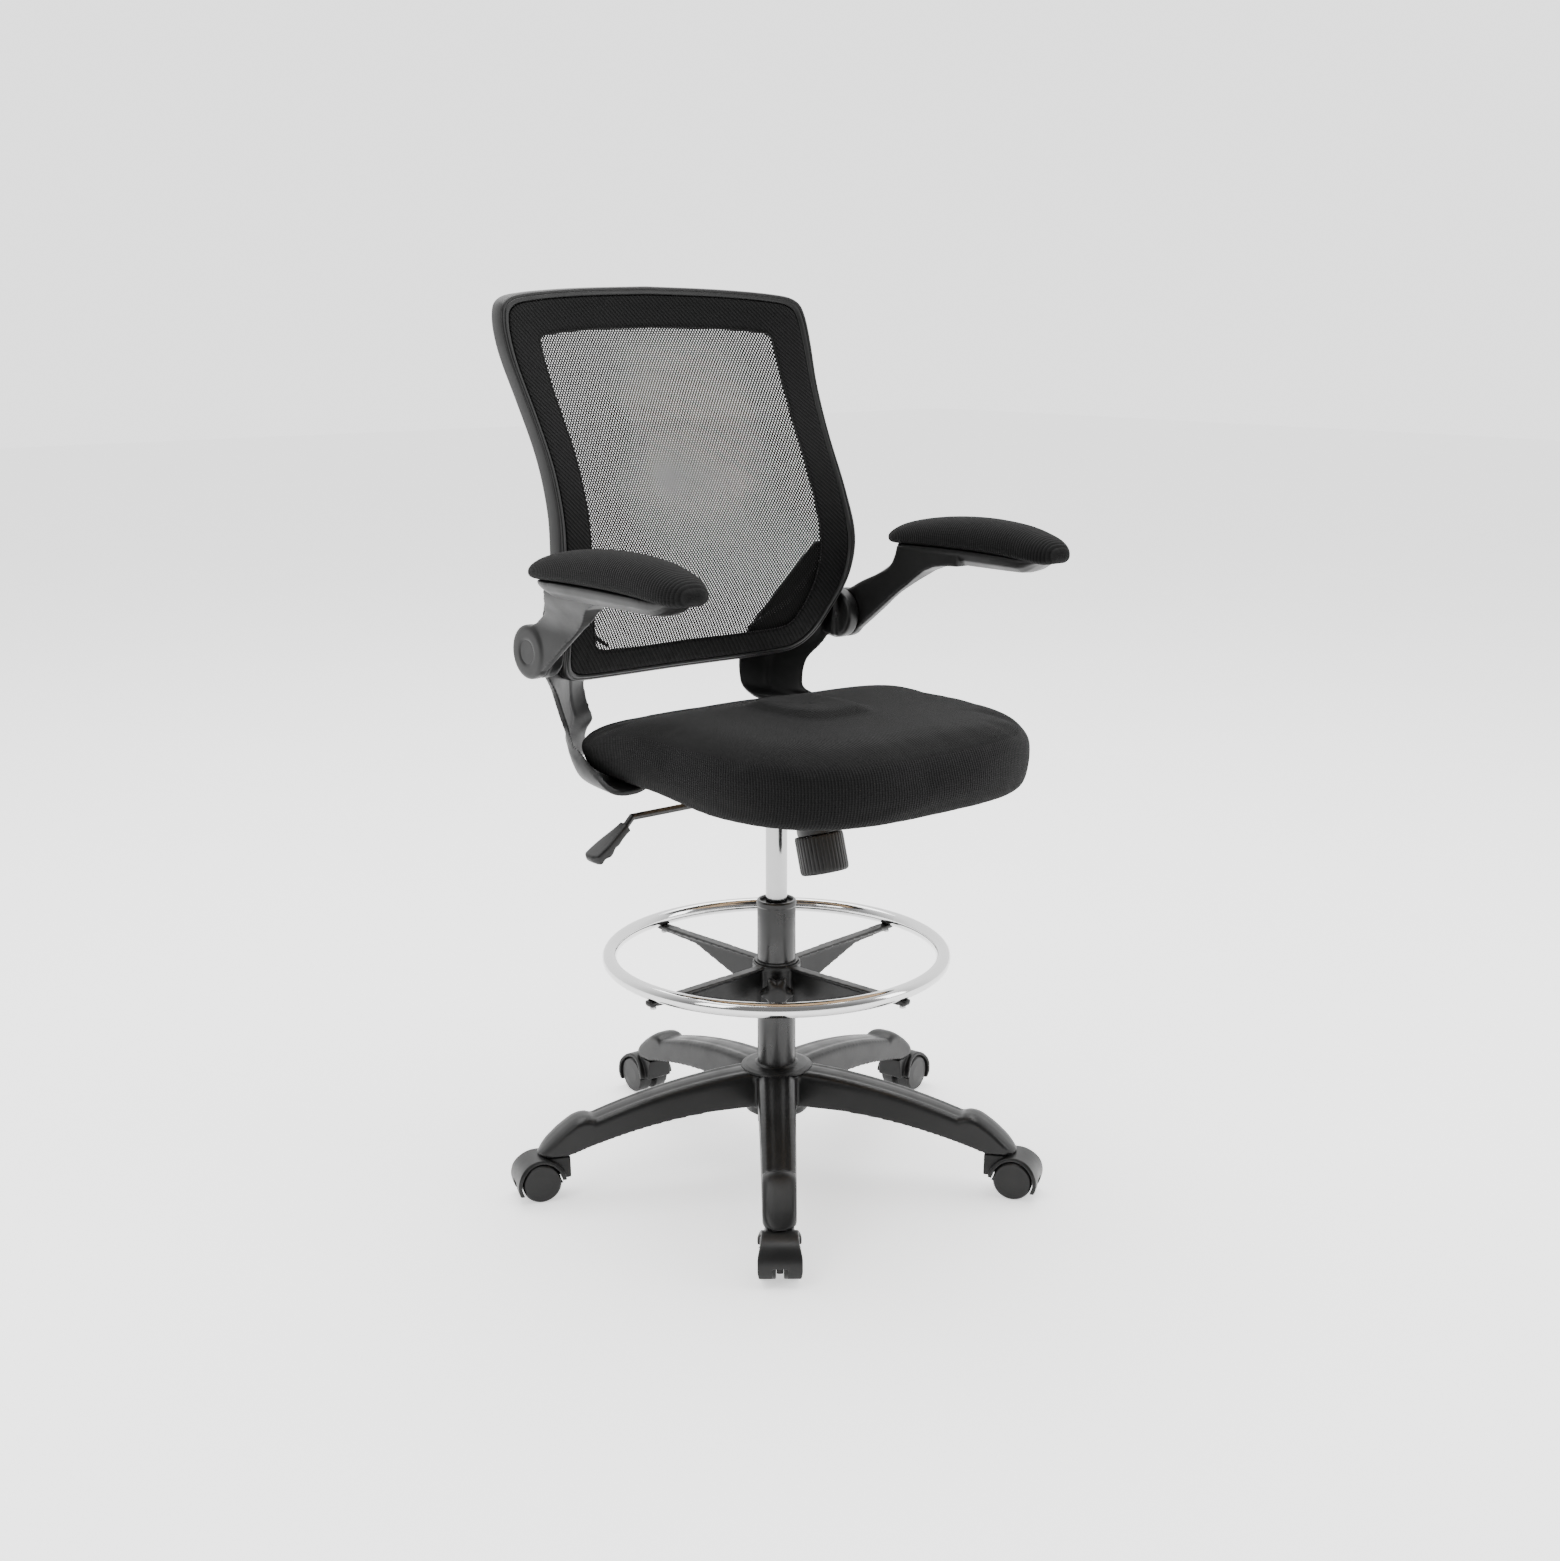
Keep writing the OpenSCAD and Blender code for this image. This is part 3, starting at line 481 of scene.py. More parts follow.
def strands(slope_deg, pitch, width, behind, step=9.0):
    """Flat yarns across the window, all leaning one way, cut at its edge."""
    edge = border(0.93)
    along = np.array([math.cos(math.radians(slope_deg)), math.sin(math.radians(slope_deg))])
    cross = np.array([-along[1], along[0]])
    centre = np.array([0.0, 880.0])
    verts, faces = [], []
    reach = 330.0
    for offset in np.arange(-reach, reach, pitch):
        s = np.arange(-reach, reach + step, step / 3)
        points = centre + np.outer(s, along) + cross * offset
        keep = inside(points, edge)
        runs = np.flatnonzero(np.diff(np.concatenate([[0], keep.astype(int), [0]])))
        for a, b in zip(runs[::2], runs[1::2]):
            if b - a < 4:
                continue
            index = sorted(set(list(range(a, b, 3)) + [b - 1]))
            path = points[index]
            left, right = path + cross * width / 2, path - cross * width / 2
            start = len(verts)
            for p, q in zip(back_surface(left[:, 0], left[:, 1], behind),
                            back_surface(right[:, 0], right[:, 1], behind)):
                verts += [p, q]
            faces += [(start + 2 * i, start + 2 * i + 1, start + 2 * i + 3, start + 2 * i + 2)
                      for i in range(len(index) - 1)]
    return np.array(verts), faces


PITCH_MESH, YARN, YARN_SLOPE = 3.4, 2.0, 52.0
weave_parts = [strands(YARN_SLOPE, PITCH_MESH, YARN, 3.7),
               strands(-YARN_SLOPE, PITCH_MESH, YARN, 4.0)]
web_verts, web_faces = joined(weave_parts)
web_mesh = bpy.data.meshes.new("back_web")
web_mesh.from_pydata([tuple(v) for v in web_verts * MM], [], web_faces)
web = add_object("back_web", web_mesh)
weave_coords(web, web_verts[:, 0] * MM, web_verts[:, 2] * MM)
finish_piece(web, "seat", "back_fabric", ["back_mesh"])


def stitch_row(share, behind, length, gap, radius):
    """Short raised stitches laid end to end round the border."""
    line = border(share)
    path = back_surface(line[:, 0], line[:, 1], behind)
    closed = np.concatenate([path, path[:1]])
    run = np.concatenate([[0], np.cumsum(np.linalg.norm(np.diff(closed, axis=0), axis=1))])
    parts = []
    for s in np.arange(0, run[-1] - length, length + gap):
        ends = [np.array([np.interp(s + d, run, closed[:, k]) for k in range(3)])
                for d in (0, length * 0.25, length * 0.75, length)]
        heading = ends[-1] - ends[0]
        heading /= np.linalg.norm(heading)
        across = np.cross(heading, (0, 1, 0))
        lift = np.cross(across, heading)
        rings = [[p + r * radius * (math.cos(a) * across + math.sin(a) * lift)
                  for a in np.linspace(0, 2 * math.pi, 6, endpoint=False)]
                 for p, r in zip(ends, (0.35, 1.0, 1.0, 0.35))]
        parts.append(loft(rings))
    return joined(parts)


thread = fabric("edge_thread", 0.02, 0.0012, 0.00005, sheen=0.05)
STITCHES = {"window_seam": ((0.985, 0.35, 2.6, 1.2, 0.55), thread),
            "border_seam": ((0.935, 0.75, 3.0, 1.6, 0.45), None)}
for seam_name, (row, yarn_look) in STITCHES.items():
    seam = add_object(seam_name, mesh_from(seam_name, *stitch_row(*row)))
    weave_coords(seam, vertex_array(seam)[:, 0] * MM, vertex_array(seam)[:, 2] * MM)
    finish_piece(seam, "seat", "cushion_fabric", (), yarn_look)


# ---------------------------------------------------------------- seat cushion

SEAT_HALF_W, SEAT_FRONT, SEAT_REAR, SEAT_MID = 226.0, 240.0, 256.0, -70.0
BOARD_INSET = 36.0
CUSHION_RINGS = [(BOARD_INSET - 0.6, 562.3), (BOARD_INSET - 0.6, 549.5), (30, 548.0),
                 (19, 547.6), (10, 550), (4, 556.5), (1, 567), (0, 581), (1, 597), (5, 609),
                 (13, 617.5), (30, 622.5), (64, 624.5), (110, 625), (170, 624)]


def seat_outline(inset, steps):
    """The seat's plan, squarer at the rear than at the front, shrunk by an inset."""
    t = np.linspace(0, 2 * math.pi, steps, endpoint=False) + math.pi / 2
    c, s = np.cos(t), np.sin(t)
    power = np.where(s < 0, 3.3, 4.6)
    x = (SEAT_HALF_W - inset) * np.sign(c) * np.abs(c) ** (2 / power)
    reach = np.where(s < 0, SEAT_FRONT, SEAT_REAR) - inset
    return x, reach * np.sign(s) * np.abs(s) ** (2 / power) + SEAT_MID


def cushion_height(y, z):
    """The cushion's top falls away towards the rear, and its front edge hangs lower."""
    fall = 36 * ease((y + 30) / 200) * np.maximum(0, (z - 562.4) / 71.6)
    hang = 8 * ease((-y - 20) / 130) * np.maximum(0, 1 - (z - 548) / 40)
    return z - fall - hang


def even_steps(x, y, steps):
    """The same closed outline with points spaced evenly along it."""
    cx, cy = np.append(x, x[0]), np.append(y, y[0])
    run = np.concatenate([[0], np.cumsum(np.hypot(np.diff(cx), np.diff(cy)))])
    s = np.linspace(0, run[-1], steps, endpoint=False)
    return np.interp(s, run, cx), np.interp(s, run, cy), s


def seat_cushion():
    """The seat's skin: stacked rings up the side, then shrinking rings across the top."""
    steps = 180
    first = [np.array(r, float) for r in CUSHION_RINGS[:2]]
    rest = smooth_line(CUSHION_RINGS[2:], 3)
    verts, rib, loop = [], [], []
    down = 0.0
    previous = None
    rows = 0
    for inset, height in list(first) + list(rest):
        x, y = seat_outline(inset, 1200)
        x, y, s = even_steps(x, y, steps)
        z = np.full(steps, height) if rows < 2 else cushion_height(y, np.full(steps, height))
        if rows >= 2:
            low = np.clip(1 - (height - 548) / 14, 0, 1)
            front = ease((-y + 40) / 120)
            z = z - low * front * 2.2 * np.abs(np.sin(s * math.pi / 21.0))
        bulge = 1.6 * np.sin(s * 2 * math.pi / 170 + 0.8) * math.exp(-((height - 585) / 18) ** 2)
        spread = 1 + 0.004 * (bulge if rows >= 2 else 0)
        x, y = x * spread, (y - SEAT_MID) * spread + SEAT_MID
        ring = np.stack([x, y, z], 1)
        if previous is not None:
            down += float(np.mean(np.linalg.norm(ring - previous, axis=1)))
        previous = ring
        verts.append(ring)
        top = float(ease((height - 612) / 18))
        rib.append(x * top + (1 - top) * (s - s[steps // 2]))
        loop.append(y * top + (1 - top) * down)
        rows += 1
    outer = verts[-1]
    centre = outer.mean(0)
    for share in (0.8, 0.6, 0.4, 0.2, 0.06):
        ring = centre + (outer - centre) * share
        ring[:, 2] = cushion_height(ring[:, 1], np.full(steps, 633.0))
        verts.append(ring)
        rib.append(ring[:, 0])
        loop.append(ring[:, 1])
        rows += 1
    co = np.concatenate(verts)
    x, y = co[:, 0], co[:, 1]
    top_skin = ease((co[:, 2] - 575) / 45)
    dish = 2.0 * np.exp(-(x / 120) ** 2 - ((y - 30) / 110) ** 2)
    at_side = ease((np.abs(x) - 110) / 80) * ease((y + 290) / 110)
    bolster = 1.5 * at_side * (1 - 0.5 * ease((160 - np.abs(x)) / 50))
    rear_mid = 1.0 * ease((y - 110) / 70) * (1 - ease((np.abs(x) - 120) / 60))
    co[:, 2] += top_skin * (bolster - dish - rear_mid)
    faces = grid_faces(rows, steps)
    faces.append(tuple(range(steps - 1, -1, -1)))
    faces.append(tuple((rows - 1) * steps + i for i in range(steps)))
    mesh = mesh_from("seat_pad", co, faces)
    obj = add_object("seat_pad", mesh)
    weave_coords(obj, np.concatenate(rib) * MM, np.concatenate(loop) * MM)
    return obj


def puff(obj, pinned, cap, pressure=4.0):
    """Swells a closed skin under air pressure with cloth simulation, by less than cap mm."""
    scene = bpy.context.scene
    before = vertex_array(obj)
    group = obj.vertex_groups.new(name="held")
    group.add([int(i) for i in np.flatnonzero(pinned)], 1.0, "REPLACE")
    cloth = obj.modifiers.new("cloth", "CLOTH")
    cloth.settings.quality = 5
    cloth.settings.mass = 0.3
    cloth.settings.tension_stiffness = 20
    cloth.settings.compression_stiffness = 20
    cloth.settings.shear_stiffness = 8
    cloth.settings.bending_stiffness = 1.5
    cloth.settings.use_pressure = True
    cloth.settings.uniform_pressure_force = pressure
    cloth.settings.vertex_group_mass = "held"
    cloth.settings.effector_weights.gravity = 0
    cloth.collision_settings.use_collision = False
    cloth.point_cache.frame_start, cloth.point_cache.frame_end = 1, 20
    for number in range(1, 21):
        scene.frame_set(number)
    graph = bpy.context.evaluated_depsgraph_get()
    swollen = obj.evaluated_get(graph)
    after = np.zeros(len(swollen.data.vertices) * 3)
    swollen.data.vertices.foreach_get("co", after)
    after = after.reshape(-1, 3) / MM
    obj.modifiers.clear()
    obj.vertex_groups.clear()
    scene.frame_set(1)
    step = np.nan_to_num(after - before)
    size = np.linalg.norm(step, axis=1)[:, None]
    write_vertices(obj, before + step * cap / (cap + size))


def subdivided(obj, levels):
    modifier = obj.modifiers.new("smooth", "SUBSURF")
    modifier.levels = modifier.render_levels = levels
    return bake_modifiers(obj)


# Heights below which each padded skin is stapled down, so the air cannot move it
SEAT_HELD_BELOW, PAD_HELD_BELOW = 553, 806

seat_pad = seat_cushion()
start = vertex_array(seat_pad)
puff(seat_pad, start[:, 2] < SEAT_HELD_BELOW, cap=7.0)
subdivided(seat_pad, 1)
finish_piece(seat_pad, "seat", "cushion_fabric", ["seat_cushion"])


# ---------------------------------------------------------------- arms and pads

ARM_Y, ARM_Z, HUB_R = 158.0, 698.0, 34.0
ARM_IN, ARM_OUT = 253.2, 268.0
PAD_X, PAD_MID_Y = 288.0, -65.0


def tray_top(y):
    return 804 - 0.0002 * (y + 60) ** 2


def arm_shell():
    """The arm's moulding: pivot hub, swept neck and the tray under the pad."""
    hub = lathe_x([(ARM_IN, HUB_R - 1.5), (ARM_IN + 1.5, HUB_R), (ARM_OUT - 3, HUB_R),
                   (ARM_OUT - 0.8, HUB_R - 1.6), (ARM_OUT, HUB_R - 4), (ARM_OUT + 0.2, 16.5),
                   (ARM_OUT - 0.6, 15.2), (ARM_OUT - 3.4, 15.0)], ARM_Y, ARM_Z)
    neck_line = [(ARM_Y, ARM_Z - HUB_R), (ARM_Y, 729), (140, 737), (125, 746), (110, 755),
                 (97, 766), (88, 777), (82, 790), (80, 799), (40, 801), (-10, 802),
                 (-60, 802), (-60, 781.5), (-35, 780), (-14, 776.5), (5, 769), (34, 749),
                 (72, 721), (104, 697), (130, 678)]

    def outer(y, z):
        flare = ease((z - 728) / 60) * 24
        dip = 3.0 * math.exp(-(((z - 745) / 22) ** 2))
        return ARM_OUT - 2 + flare - dip

    def inner(y, z):
        return ARM_IN + 0.3 + 2.2 * ease((z - 735) / 40)

    neck = plate(neck_line, inner, outer, 4)
    skin = neck[0]
    lean = ease((skin[:, 2] - 738) / 36) * (1 - ease((skin[:, 0] - 252) / 26))
    skin[:, 1] -= 26 * lean * ease((skin[:, 1] - 20) / 40)
    rings = []
    for a in np.linspace(-86, 86, 44):
        t = math.sin(math.radians(a))
        y = 76 - (76 + 200) * (t + 1) / 2
        top = tray_top(y) - 0.2
        half = 33.2 * max(1 - abs(t) ** 5, 0.0) ** 0.4
        low = 781.5 + 19 * ease((-y - 158) / 46) + 14 * ease((y - 30) / 60)
        low = min(low, top - 3)
        keel = half * 0.55
        rings.append([(PAD_X + half, y, top), (PAD_X - half, y, top),
                      (PAD_X - half, y, top - min(5, (top - low) * 0.3)),
                      (PAD_X - half * 0.86, y, top - (top - low) * 0.62),
                      (PAD_X - keel, y, low + 1), (PAD_X, y, low),
                      (PAD_X + keel, y, low + 1.5),
                      (PAD_X + half * 0.9, y, top - (top - low) * 0.55),
                      (PAD_X + half, y, top - min(4, (top - low) * 0.25))])
    return joined([hub, neck, loft(rings)])


PAD_CROWN = [(90.5, 806), (89, 811), (84, 817), (58, 829), (16, 838), (-35, 843.5), (-90, 845),
             (-145, 841), (-182, 832.5), (-200, 825.5), (-209, 818), (-212, 811)]
PAD_SOLE = [(90.5, 805), (88, 801.5), (82, 800.2), (16, 802.6), (-35, 803.4), (-90, 803.2),
            (-145, 801), (-182, 797.5), (-200, 796.5), (-209, 800), (-212, 808)]
PAD_PLAN = [(90.5, 7), (89, 14), (84, 21), (70, 29), (45, 34), (0, 36.5), (-100, 36.5),
            (-160, 35.5), (-187, 32.5), (-201, 26.5), (-209, 18), (-212, 7)]


def follow(table, y):
    """Reads a smooth curve through a table of (y, value) points."""
    line = smooth_line(table, 8)[::-1]
    return np.interp(y, line[:, 0], line[:, 1])


def arm_pad():
    """The pad's skin, with the length of the ribs and the girth along them."""
    half_turn = np.linspace(-88, 88, 64)
    stations = PAD_MID_Y + 4.2 + 151.2 * np.sin(np.radians(half_turn))
    rings, rib, loop = [], [], []
    for y in stations:
        top, sole, half = (float(follow(t, y)) for t in (PAD_CROWN, PAD_SOLE, PAD_PLAN))
        waist = sole + min(8.0, (top - sole) * 0.5)
        ring = []
        for k in range(64):
            a = 2 * math.pi * (k + 0.5) / 64
            c, d = math.cos(a), math.sin(a)
            x = half * math.copysign(abs(c) ** 0.86, c)
            if d > 0:
                z = waist + (top - waist) * d ** 0.8
            else:
                z = waist - (waist - sole) * min(1.0, 1.25 * abs(d)) ** 0.7
                x *= 1 - 0.09 * abs(d)
            ring.append((PAD_X + x, y, z))
        rings.append(ring)
        run = np.linalg.norm(np.diff(np.array(ring), axis=0), axis=1)
        rib += [-y] * 64
        loop += list(np.concatenate([[0], np.cumsum(run)]))
    verts, faces = loft(rings)
    return verts, faces, np.array(rib), np.array(loop)


def add_arm(side_name, mirror):
    verts, faces = arm_shell()
    pad_verts, pad_faces, rib, loop = arm_pad()
    if mirror:
        verts, faces = mirrored_x(verts, faces)
        pad_verts, pad_faces = mirrored_x(pad_verts, pad_faces)
    shell = add_object(f"arm_shell_{side_name}", mesh_from("arm_shell", verts, faces))
    fuse(shell, 1.7, 7)
    finish_piece(shell, f"{side_name}_arm", "black_plastic", [f"arm_{side_name}"])
    pad = add_object(f"arm_cushion_{side_name}", mesh_from("arm_cushion", pad_verts, pad_faces))
    weave_coords(pad, rib * MM, loop * MM)
    rest = vertex_array(pad)
    puff(pad, rest[:, 2] < PAD_HELD_BELOW, cap=2.5)
    subdivided(pad, 1)
    finish_piece(pad, f"{side_name}_arm", "cushion_fabric", [f"arm_pad_{side_name}"])


add_arm("left", False)
add_arm("right", True)


# ---------------------------------------------------------------- side brackets

STRAP = [[(132, 18, 546.4), (126, 55, 546.4), (118, 92, 546.4)],
         [(186, 12, 546.4), (168, 70, 546.4), (148, 124, 546.4)],
         [(208, 10, 541), (194, 74, 541), (170, 134, 541)],
         [(232, 12, 541), (216, 84, 541), (186, 144, 541)],
         [(241, 22, 545), (228, 96, 545), (190, 158, 546)],
         [(242, 44, 556), (228, 114, 557), (178, 176, 561)],
         [(234, 90, 570), (217, 144, 573), (158, 200, 575)],
         [(220, 136, 580), (195, 182, 582), (137, 214, 585)],
         [(201, 178, 592), (166, 214, 594), (130, 231, 598)],
         [(203, 187, 612), (166, 221, 613), (131, 239, 615)],
         [(210, 187, 633), (168, 220, 633), (132, 241, 634)],
         [(219, 181, 646), (170, 216, 648), (131, 235, 650)],
         [(230, 174, 660), (173, 207, 666), (130, 225, 669)],
         [(240, 169, 682), (177, 191, 690), (134, 211, 691)],
         [(240, 166, 716), (181, 177, 720), (147, 190, 722)],
         [(236, 160, 762), (206, 166, 764), (172, 171, 764)],
         [(230, 157, 796), (217, 160, 798), (204, 162, 800)]]


def side_bracket():
    """The bent strap from the seat board up to the back, with the arm's drum on it."""
    lines = np.array(STRAP, float)
    front = smooth_line(lines[:, 0], 4)
    middle = smooth_line(lines[:, 1], 4)
    rear = smooth_line(lines[:, 2], 4)
    count = len(front)
    rings = []
    for i in range(count):
        up = middle[min(i + 1, count - 1)] - middle[max(i - 1, 0)]
        normal = np.cross(up, front[i] - rear[i])
        normal /= np.linalg.norm(normal)
        across = smooth_line([front[i], middle[i], rear[i]], 8)
        share = np.linspace(0, 1, len(across))
        groove = 1.9 * np.exp(-((share - 0.5) / 0.035) ** 2) * float(ease((i / 4 - 7) / 1.5))
        rib = (1.2 * np.exp(-((share - 0.0) / 0.08) ** 2)
               + 1.0 * np.exp(-((share - 1.0) / 0.06) ** 2))
        inner_face = across + normal * (3.4 - groove)[:, None]
        outer_face = across - normal * (3.4 - groove + rib)[:, None]
        rings.append(np.concatenate([inner_face, outer_face[::-1]]))
    strap = loft(rings)
    drum = lathe_x([(233.2, HUB_R - 5), (234, HUB_R - 2), (236.5, HUB_R), (250, HUB_R),
                    (252.4, HUB_R - 1.2)], ARM_Y, ARM_Z)
    web_line = [(150, 668), (172, 672), (184, 690), (182, 712), (172, 728), (150, 728)]
    boss = plate(web_line, lambda y, z: 226.0, lambda y, z: 240.0, 2)
    return joined([strap, drum, boss])


RIM_LINE = [(206, 160, 792), (203, 158, 774), (191, 165, 750), (170, 176, 722), (141, 193, 699),
            (116, 202, 684)]


def wing_rim():
    """The rounded rim of the wing, seen through the mesh at the window's lower corner."""
    path = smooth_line(RIM_LINE, 6)
    tangent = np.gradient(path, axis=0)
    tangent /= np.linalg.norm(tangent, axis=1)[:, None]
    across = np.cross(tangent, (0, 1, 0))
    across /= np.linalg.norm(across, axis=1)[:, None]
    lift = np.cross(across, tangent)
    size = 3.6 * np.sin(np.linspace(0.25, math.pi - 0.25, len(path))) ** 0.5
    return loft([p + r * (np.outer(np.cos(t), a) + np.outer(np.sin(t), b))
                 for p, r, a, b in zip(path, size, across, lift)
                 for t in [np.linspace(0, 2 * math.pi, 14, endpoint=False)]])


for side_name, mirror in (("left", False), ("right", True)):
    verts, faces = wing_rim()
    if mirror:
        verts, faces = mirrored_x(verts, faces)
    wing = add_object(f"wing_rim_{side_name}", mesh_from("wing_rim", verts, faces))
    # The rim's plastic is about five times paler than the black shell: a painted highlight along
    # the rim, seen through the mesh.
    finish_piece(wing, "seat", "liner_plastic", (), plastic("rim_painted_highlight", 0.035, 0.3))
    verts, faces = side_bracket()
    if mirror:
        verts, faces = mirrored_x(verts, faces)
    bracket = add_object(f"bracket_{side_name}", mesh_from("bracket", verts, faces))
    fuse(bracket, 1.6, 9)
    finish_piece(bracket, "seat", "black_plastic", [f"side_bracket_{side_name}"])


# ---------------------------------------------------------------- base, casters and foot ring

def soft_copy(node_name, new_name, body, slot, voxel, rounds):
    """A moulded version of a CAD node: same shape, edges rounded off."""
    obj = add_object(new_name, NODES[node_name].data.copy())
    fuse(obj, voxel, rounds)
    return finish_piece(obj, body, slot, [node_name])


FIRST_LEG, LEG_END_Z, HUB_TOP = -39.0, 58.0, 137.0
BOSS_LINE = [(249, 100.9), (252, 102.6), (256, 104.2), (261, 104.9), (266, 104.6),
             (275, 101.5), (292, 90), (309, 75.5), (318, 66), (323.5, 59.5)]


def leg_top(r):
    return 141 - 0.00065 * r * r


def leg_low(r):
    return np.where(r < 90, 93.0, 93 - 0.04 * (r - 90) - 0.00073 * (r - 90) ** 2)


def base_leg():
    """A hollow leg: an upside-down channel with bevelled shoulders and a raised end boss."""
    boss = smooth_line(BOSS_LINE, 4)
    rings = []
    for r in list(range(30, 246, 8)) + [247, 250, 253, 256, 260, 264] + list(range(269, 321, 5)) + [
            321.5, 323, 323.8]:
        w = float(np.interp(r, [0, 150, 303], [26, 23, 20.5]))
        if r > 303:
            w = math.sqrt(max(20.6 ** 2 - (r - 303) ** 2, 1.0))
        low = max(float(leg_low(float(r))), LEG_END_Z) if r < 292 else LEG_END_Z
        edge = leg_top(r) if r < 250 else float(np.interp(
            r, [250, 256, 266, 275, 292, 309, 320, 324],
            [100.4, 101.2, 101.4, 98.6, 87.5, 72.5, 61.5, 59]))
        crest = edge if r < 249 else float(np.interp(r, boss[:, 0], boss[:, 1]))
        crest, edge = max(crest, low + 0.8), max(edge, low + 0.6)
        drop = min(9.0 if r < 250 else max(4.0, 9.0 - (r - 250)), (edge - low) * 0.45)
        bump = w * (0.62 + 0.26 * float(ease((r - 246) / 10)))
        outer = [(-w, low), (-w, edge - drop), (-w * 0.93, edge - drop * 0.35),
                 (-w * 0.7, edge - 0.6), (-bump, edge), (-bump * 0.72, crest - 1.2),
                 (-bump * 0.35, crest), (bump * 0.35, crest), (bump * 0.72, crest - 1.2),
                 (bump, edge), (w * 0.7, edge - 0.6), (w * 0.93, edge - drop * 0.35),
                 (w, edge - drop), (w, low)]
        wall = 4.5 if r < 289 else w * 0.98
        roof = max(low + 0.3, edge - 6) if r < 289 else low + 0.3
        side = max(w - wall, 0.3)
        inner = [(side, low), (side, min(roof, edge - drop)), (side * 0.6, roof),
                 (-side * 0.6, roof), (-side, min(roof, edge - drop)), (-side, low)]
        rings.append([(r, y, z) for y, z in outer + inner])
    return loft(rings)


def spun(verts, degrees):
    a = math.radians(degrees)
    v = np.array(verts, float)
    x = v[:, 0] * math.cos(a) - v[:, 1] * math.sin(a)
    y = v[:, 0] * math.sin(a) + v[:, 1] * math.cos(a)
    return np.stack([x, y, v[:, 2]], 1)


def hollow_turned(profile, steps=96):
    """A ring-shaped solid about +Z from a closed (radius, z) outline."""
    rings = [[(r * math.cos(a), r * math.sin(a), z)
              for a in np.linspace(0, 2 * math.pi, steps, endpoint=False)] for r, z in profile]
    return np.concatenate(rings), grid_faces(len(rings), steps, closed_rows=True)


leg_verts, leg_faces = base_leg()
hub_parts = [hollow_turned([(25.3, 80), (41, 80), (42, 81.5), (42, 120), (44.5, 128),
                            (46.6, 133), (46.6, 136.8), (25.3, 136.8)])]
for i in range(5):
    hub_parts.append((spun(leg_verts, FIRST_LEG - 90 + 72 * i), leg_faces))
base_shell = add_object("base_shell", mesh_from("base_shell", *joined(hub_parts)))
fuse(base_shell, 2.0, 5)
co = vertex_array(base_shell)
reach = np.hypot(co[:, 0], co[:, 1])
# The skin stays clear of the column's bore and just under the trim ring
BORE_R, RING_R = 25.6, 46
close = (reach < BORE_R) & (reach > 18)
co[close, :2] *= (BORE_R / reach[close])[:, None]
co[reach < RING_R, 2] = np.minimum(co[reach < RING_R, 2], HUB_TOP - 0.1)
write_vertices(base_shell, co)
finish_piece(base_shell, "base", "base_plastic", ["star_base"])

soft_copy("ring_hub", "ring_spokes", "foot_ring", "base_plastic", 1.5, 3)


AXLE_REACH = 322.0


def caster_shell(i):
    """The moulded hood with rounded shoulders that narrow towards the stem."""
    obj = add_object(f"caster_shell_{i}", NODES[f"caster_hood_{i}"].data.copy())
    fuse(obj, 0.9, 9)
    turn_by = FIRST_LEG - 90 + 72 * (i - 1)
    local = spun(vertex_array(obj), -turn_by)
    narrow = 0.18 * ease((local[:, 2] - 34) / 24) + 0.05 * ease((22 - local[:, 2]) / 12)
    wide = ease((np.abs(local[:, 1]) - 10) / 12)
    local[:, 1] *= 1 - narrow * wide
    # The hood's lower edge is level, and higher on the stem side of the wheels
    lip = 11 + 14 * ease((AXLE_REACH - 9 - local[:, 0]) / 7)
    local[:, 2] = np.maximum(local[:, 2], lip)
    write_vertices(obj, spun(local, turn_by))
    finish_piece(obj, f"caster_{i}", "black_plastic", [f"caster_hood_{i}"])


for i in range(1, 6):
    caster_shell(i)


def turned(profile, steps, shape=None):
    """A turned solid about +Z in mm; shape(angle, z) scales each radius."""
    rings = []
    for r, z in profile:
        rings.append([(r * (shape(a, r, z) if shape else 1) * math.cos(a),
                       r * (shape(a, r, z) if shape else 1) * math.sin(a), z)
                      for a in np.linspace(0, 2 * math.pi, steps, endpoint=False)])
    return loft(rings)


def place(obj, origin_mm, direction):
    """Stands the object's own Z along a direction at a point."""
    turn_to = Vector(direction).to_track_quat("Z", "Y")
    obj.data.transform(Matrix.Translation(Vector(origin_mm) * MM) @ turn_to.to_matrix().to_4x4())
    return obj


BOLT_TILT = math.radians(16)
bolt_axis = (0, math.sin(BOLT_TILT), math.cos(BOLT_TILT))


def grip(a, r, z):
    depth = 0.028 if r > 30.0 else 0.0
    return 1 - depth * (0.5 + 0.5 * math.cos(36 * a)) ** 3


knob = add_object("tension_grip", mesh_from("tension_grip", *turned(
    [(10, -20.5), (20, -20.8), (24, -21.8), (27.5, -24.3), (29.6, -23.2), (30.6, -21),
     (30.9, -18), (30.95, 0), (30.9, 20), (30.4, 23), (29.6, 24.3), (28.9, 24.0),
     (28.7, 22), (28.7, -11.8), (6, -11.9)], 432, grip)))
place(knob, (0, -89, 447), bolt_axis)
finish_piece(knob, "adjuster_knob", "black_plastic", ["tension_knob"])

clamp_dir = math.radians(-39.0 - 90.0)


def lobes(a, r, z):
    return 1 + (0.16 if r > 14 else 0.0) * math.cos(6 * a)


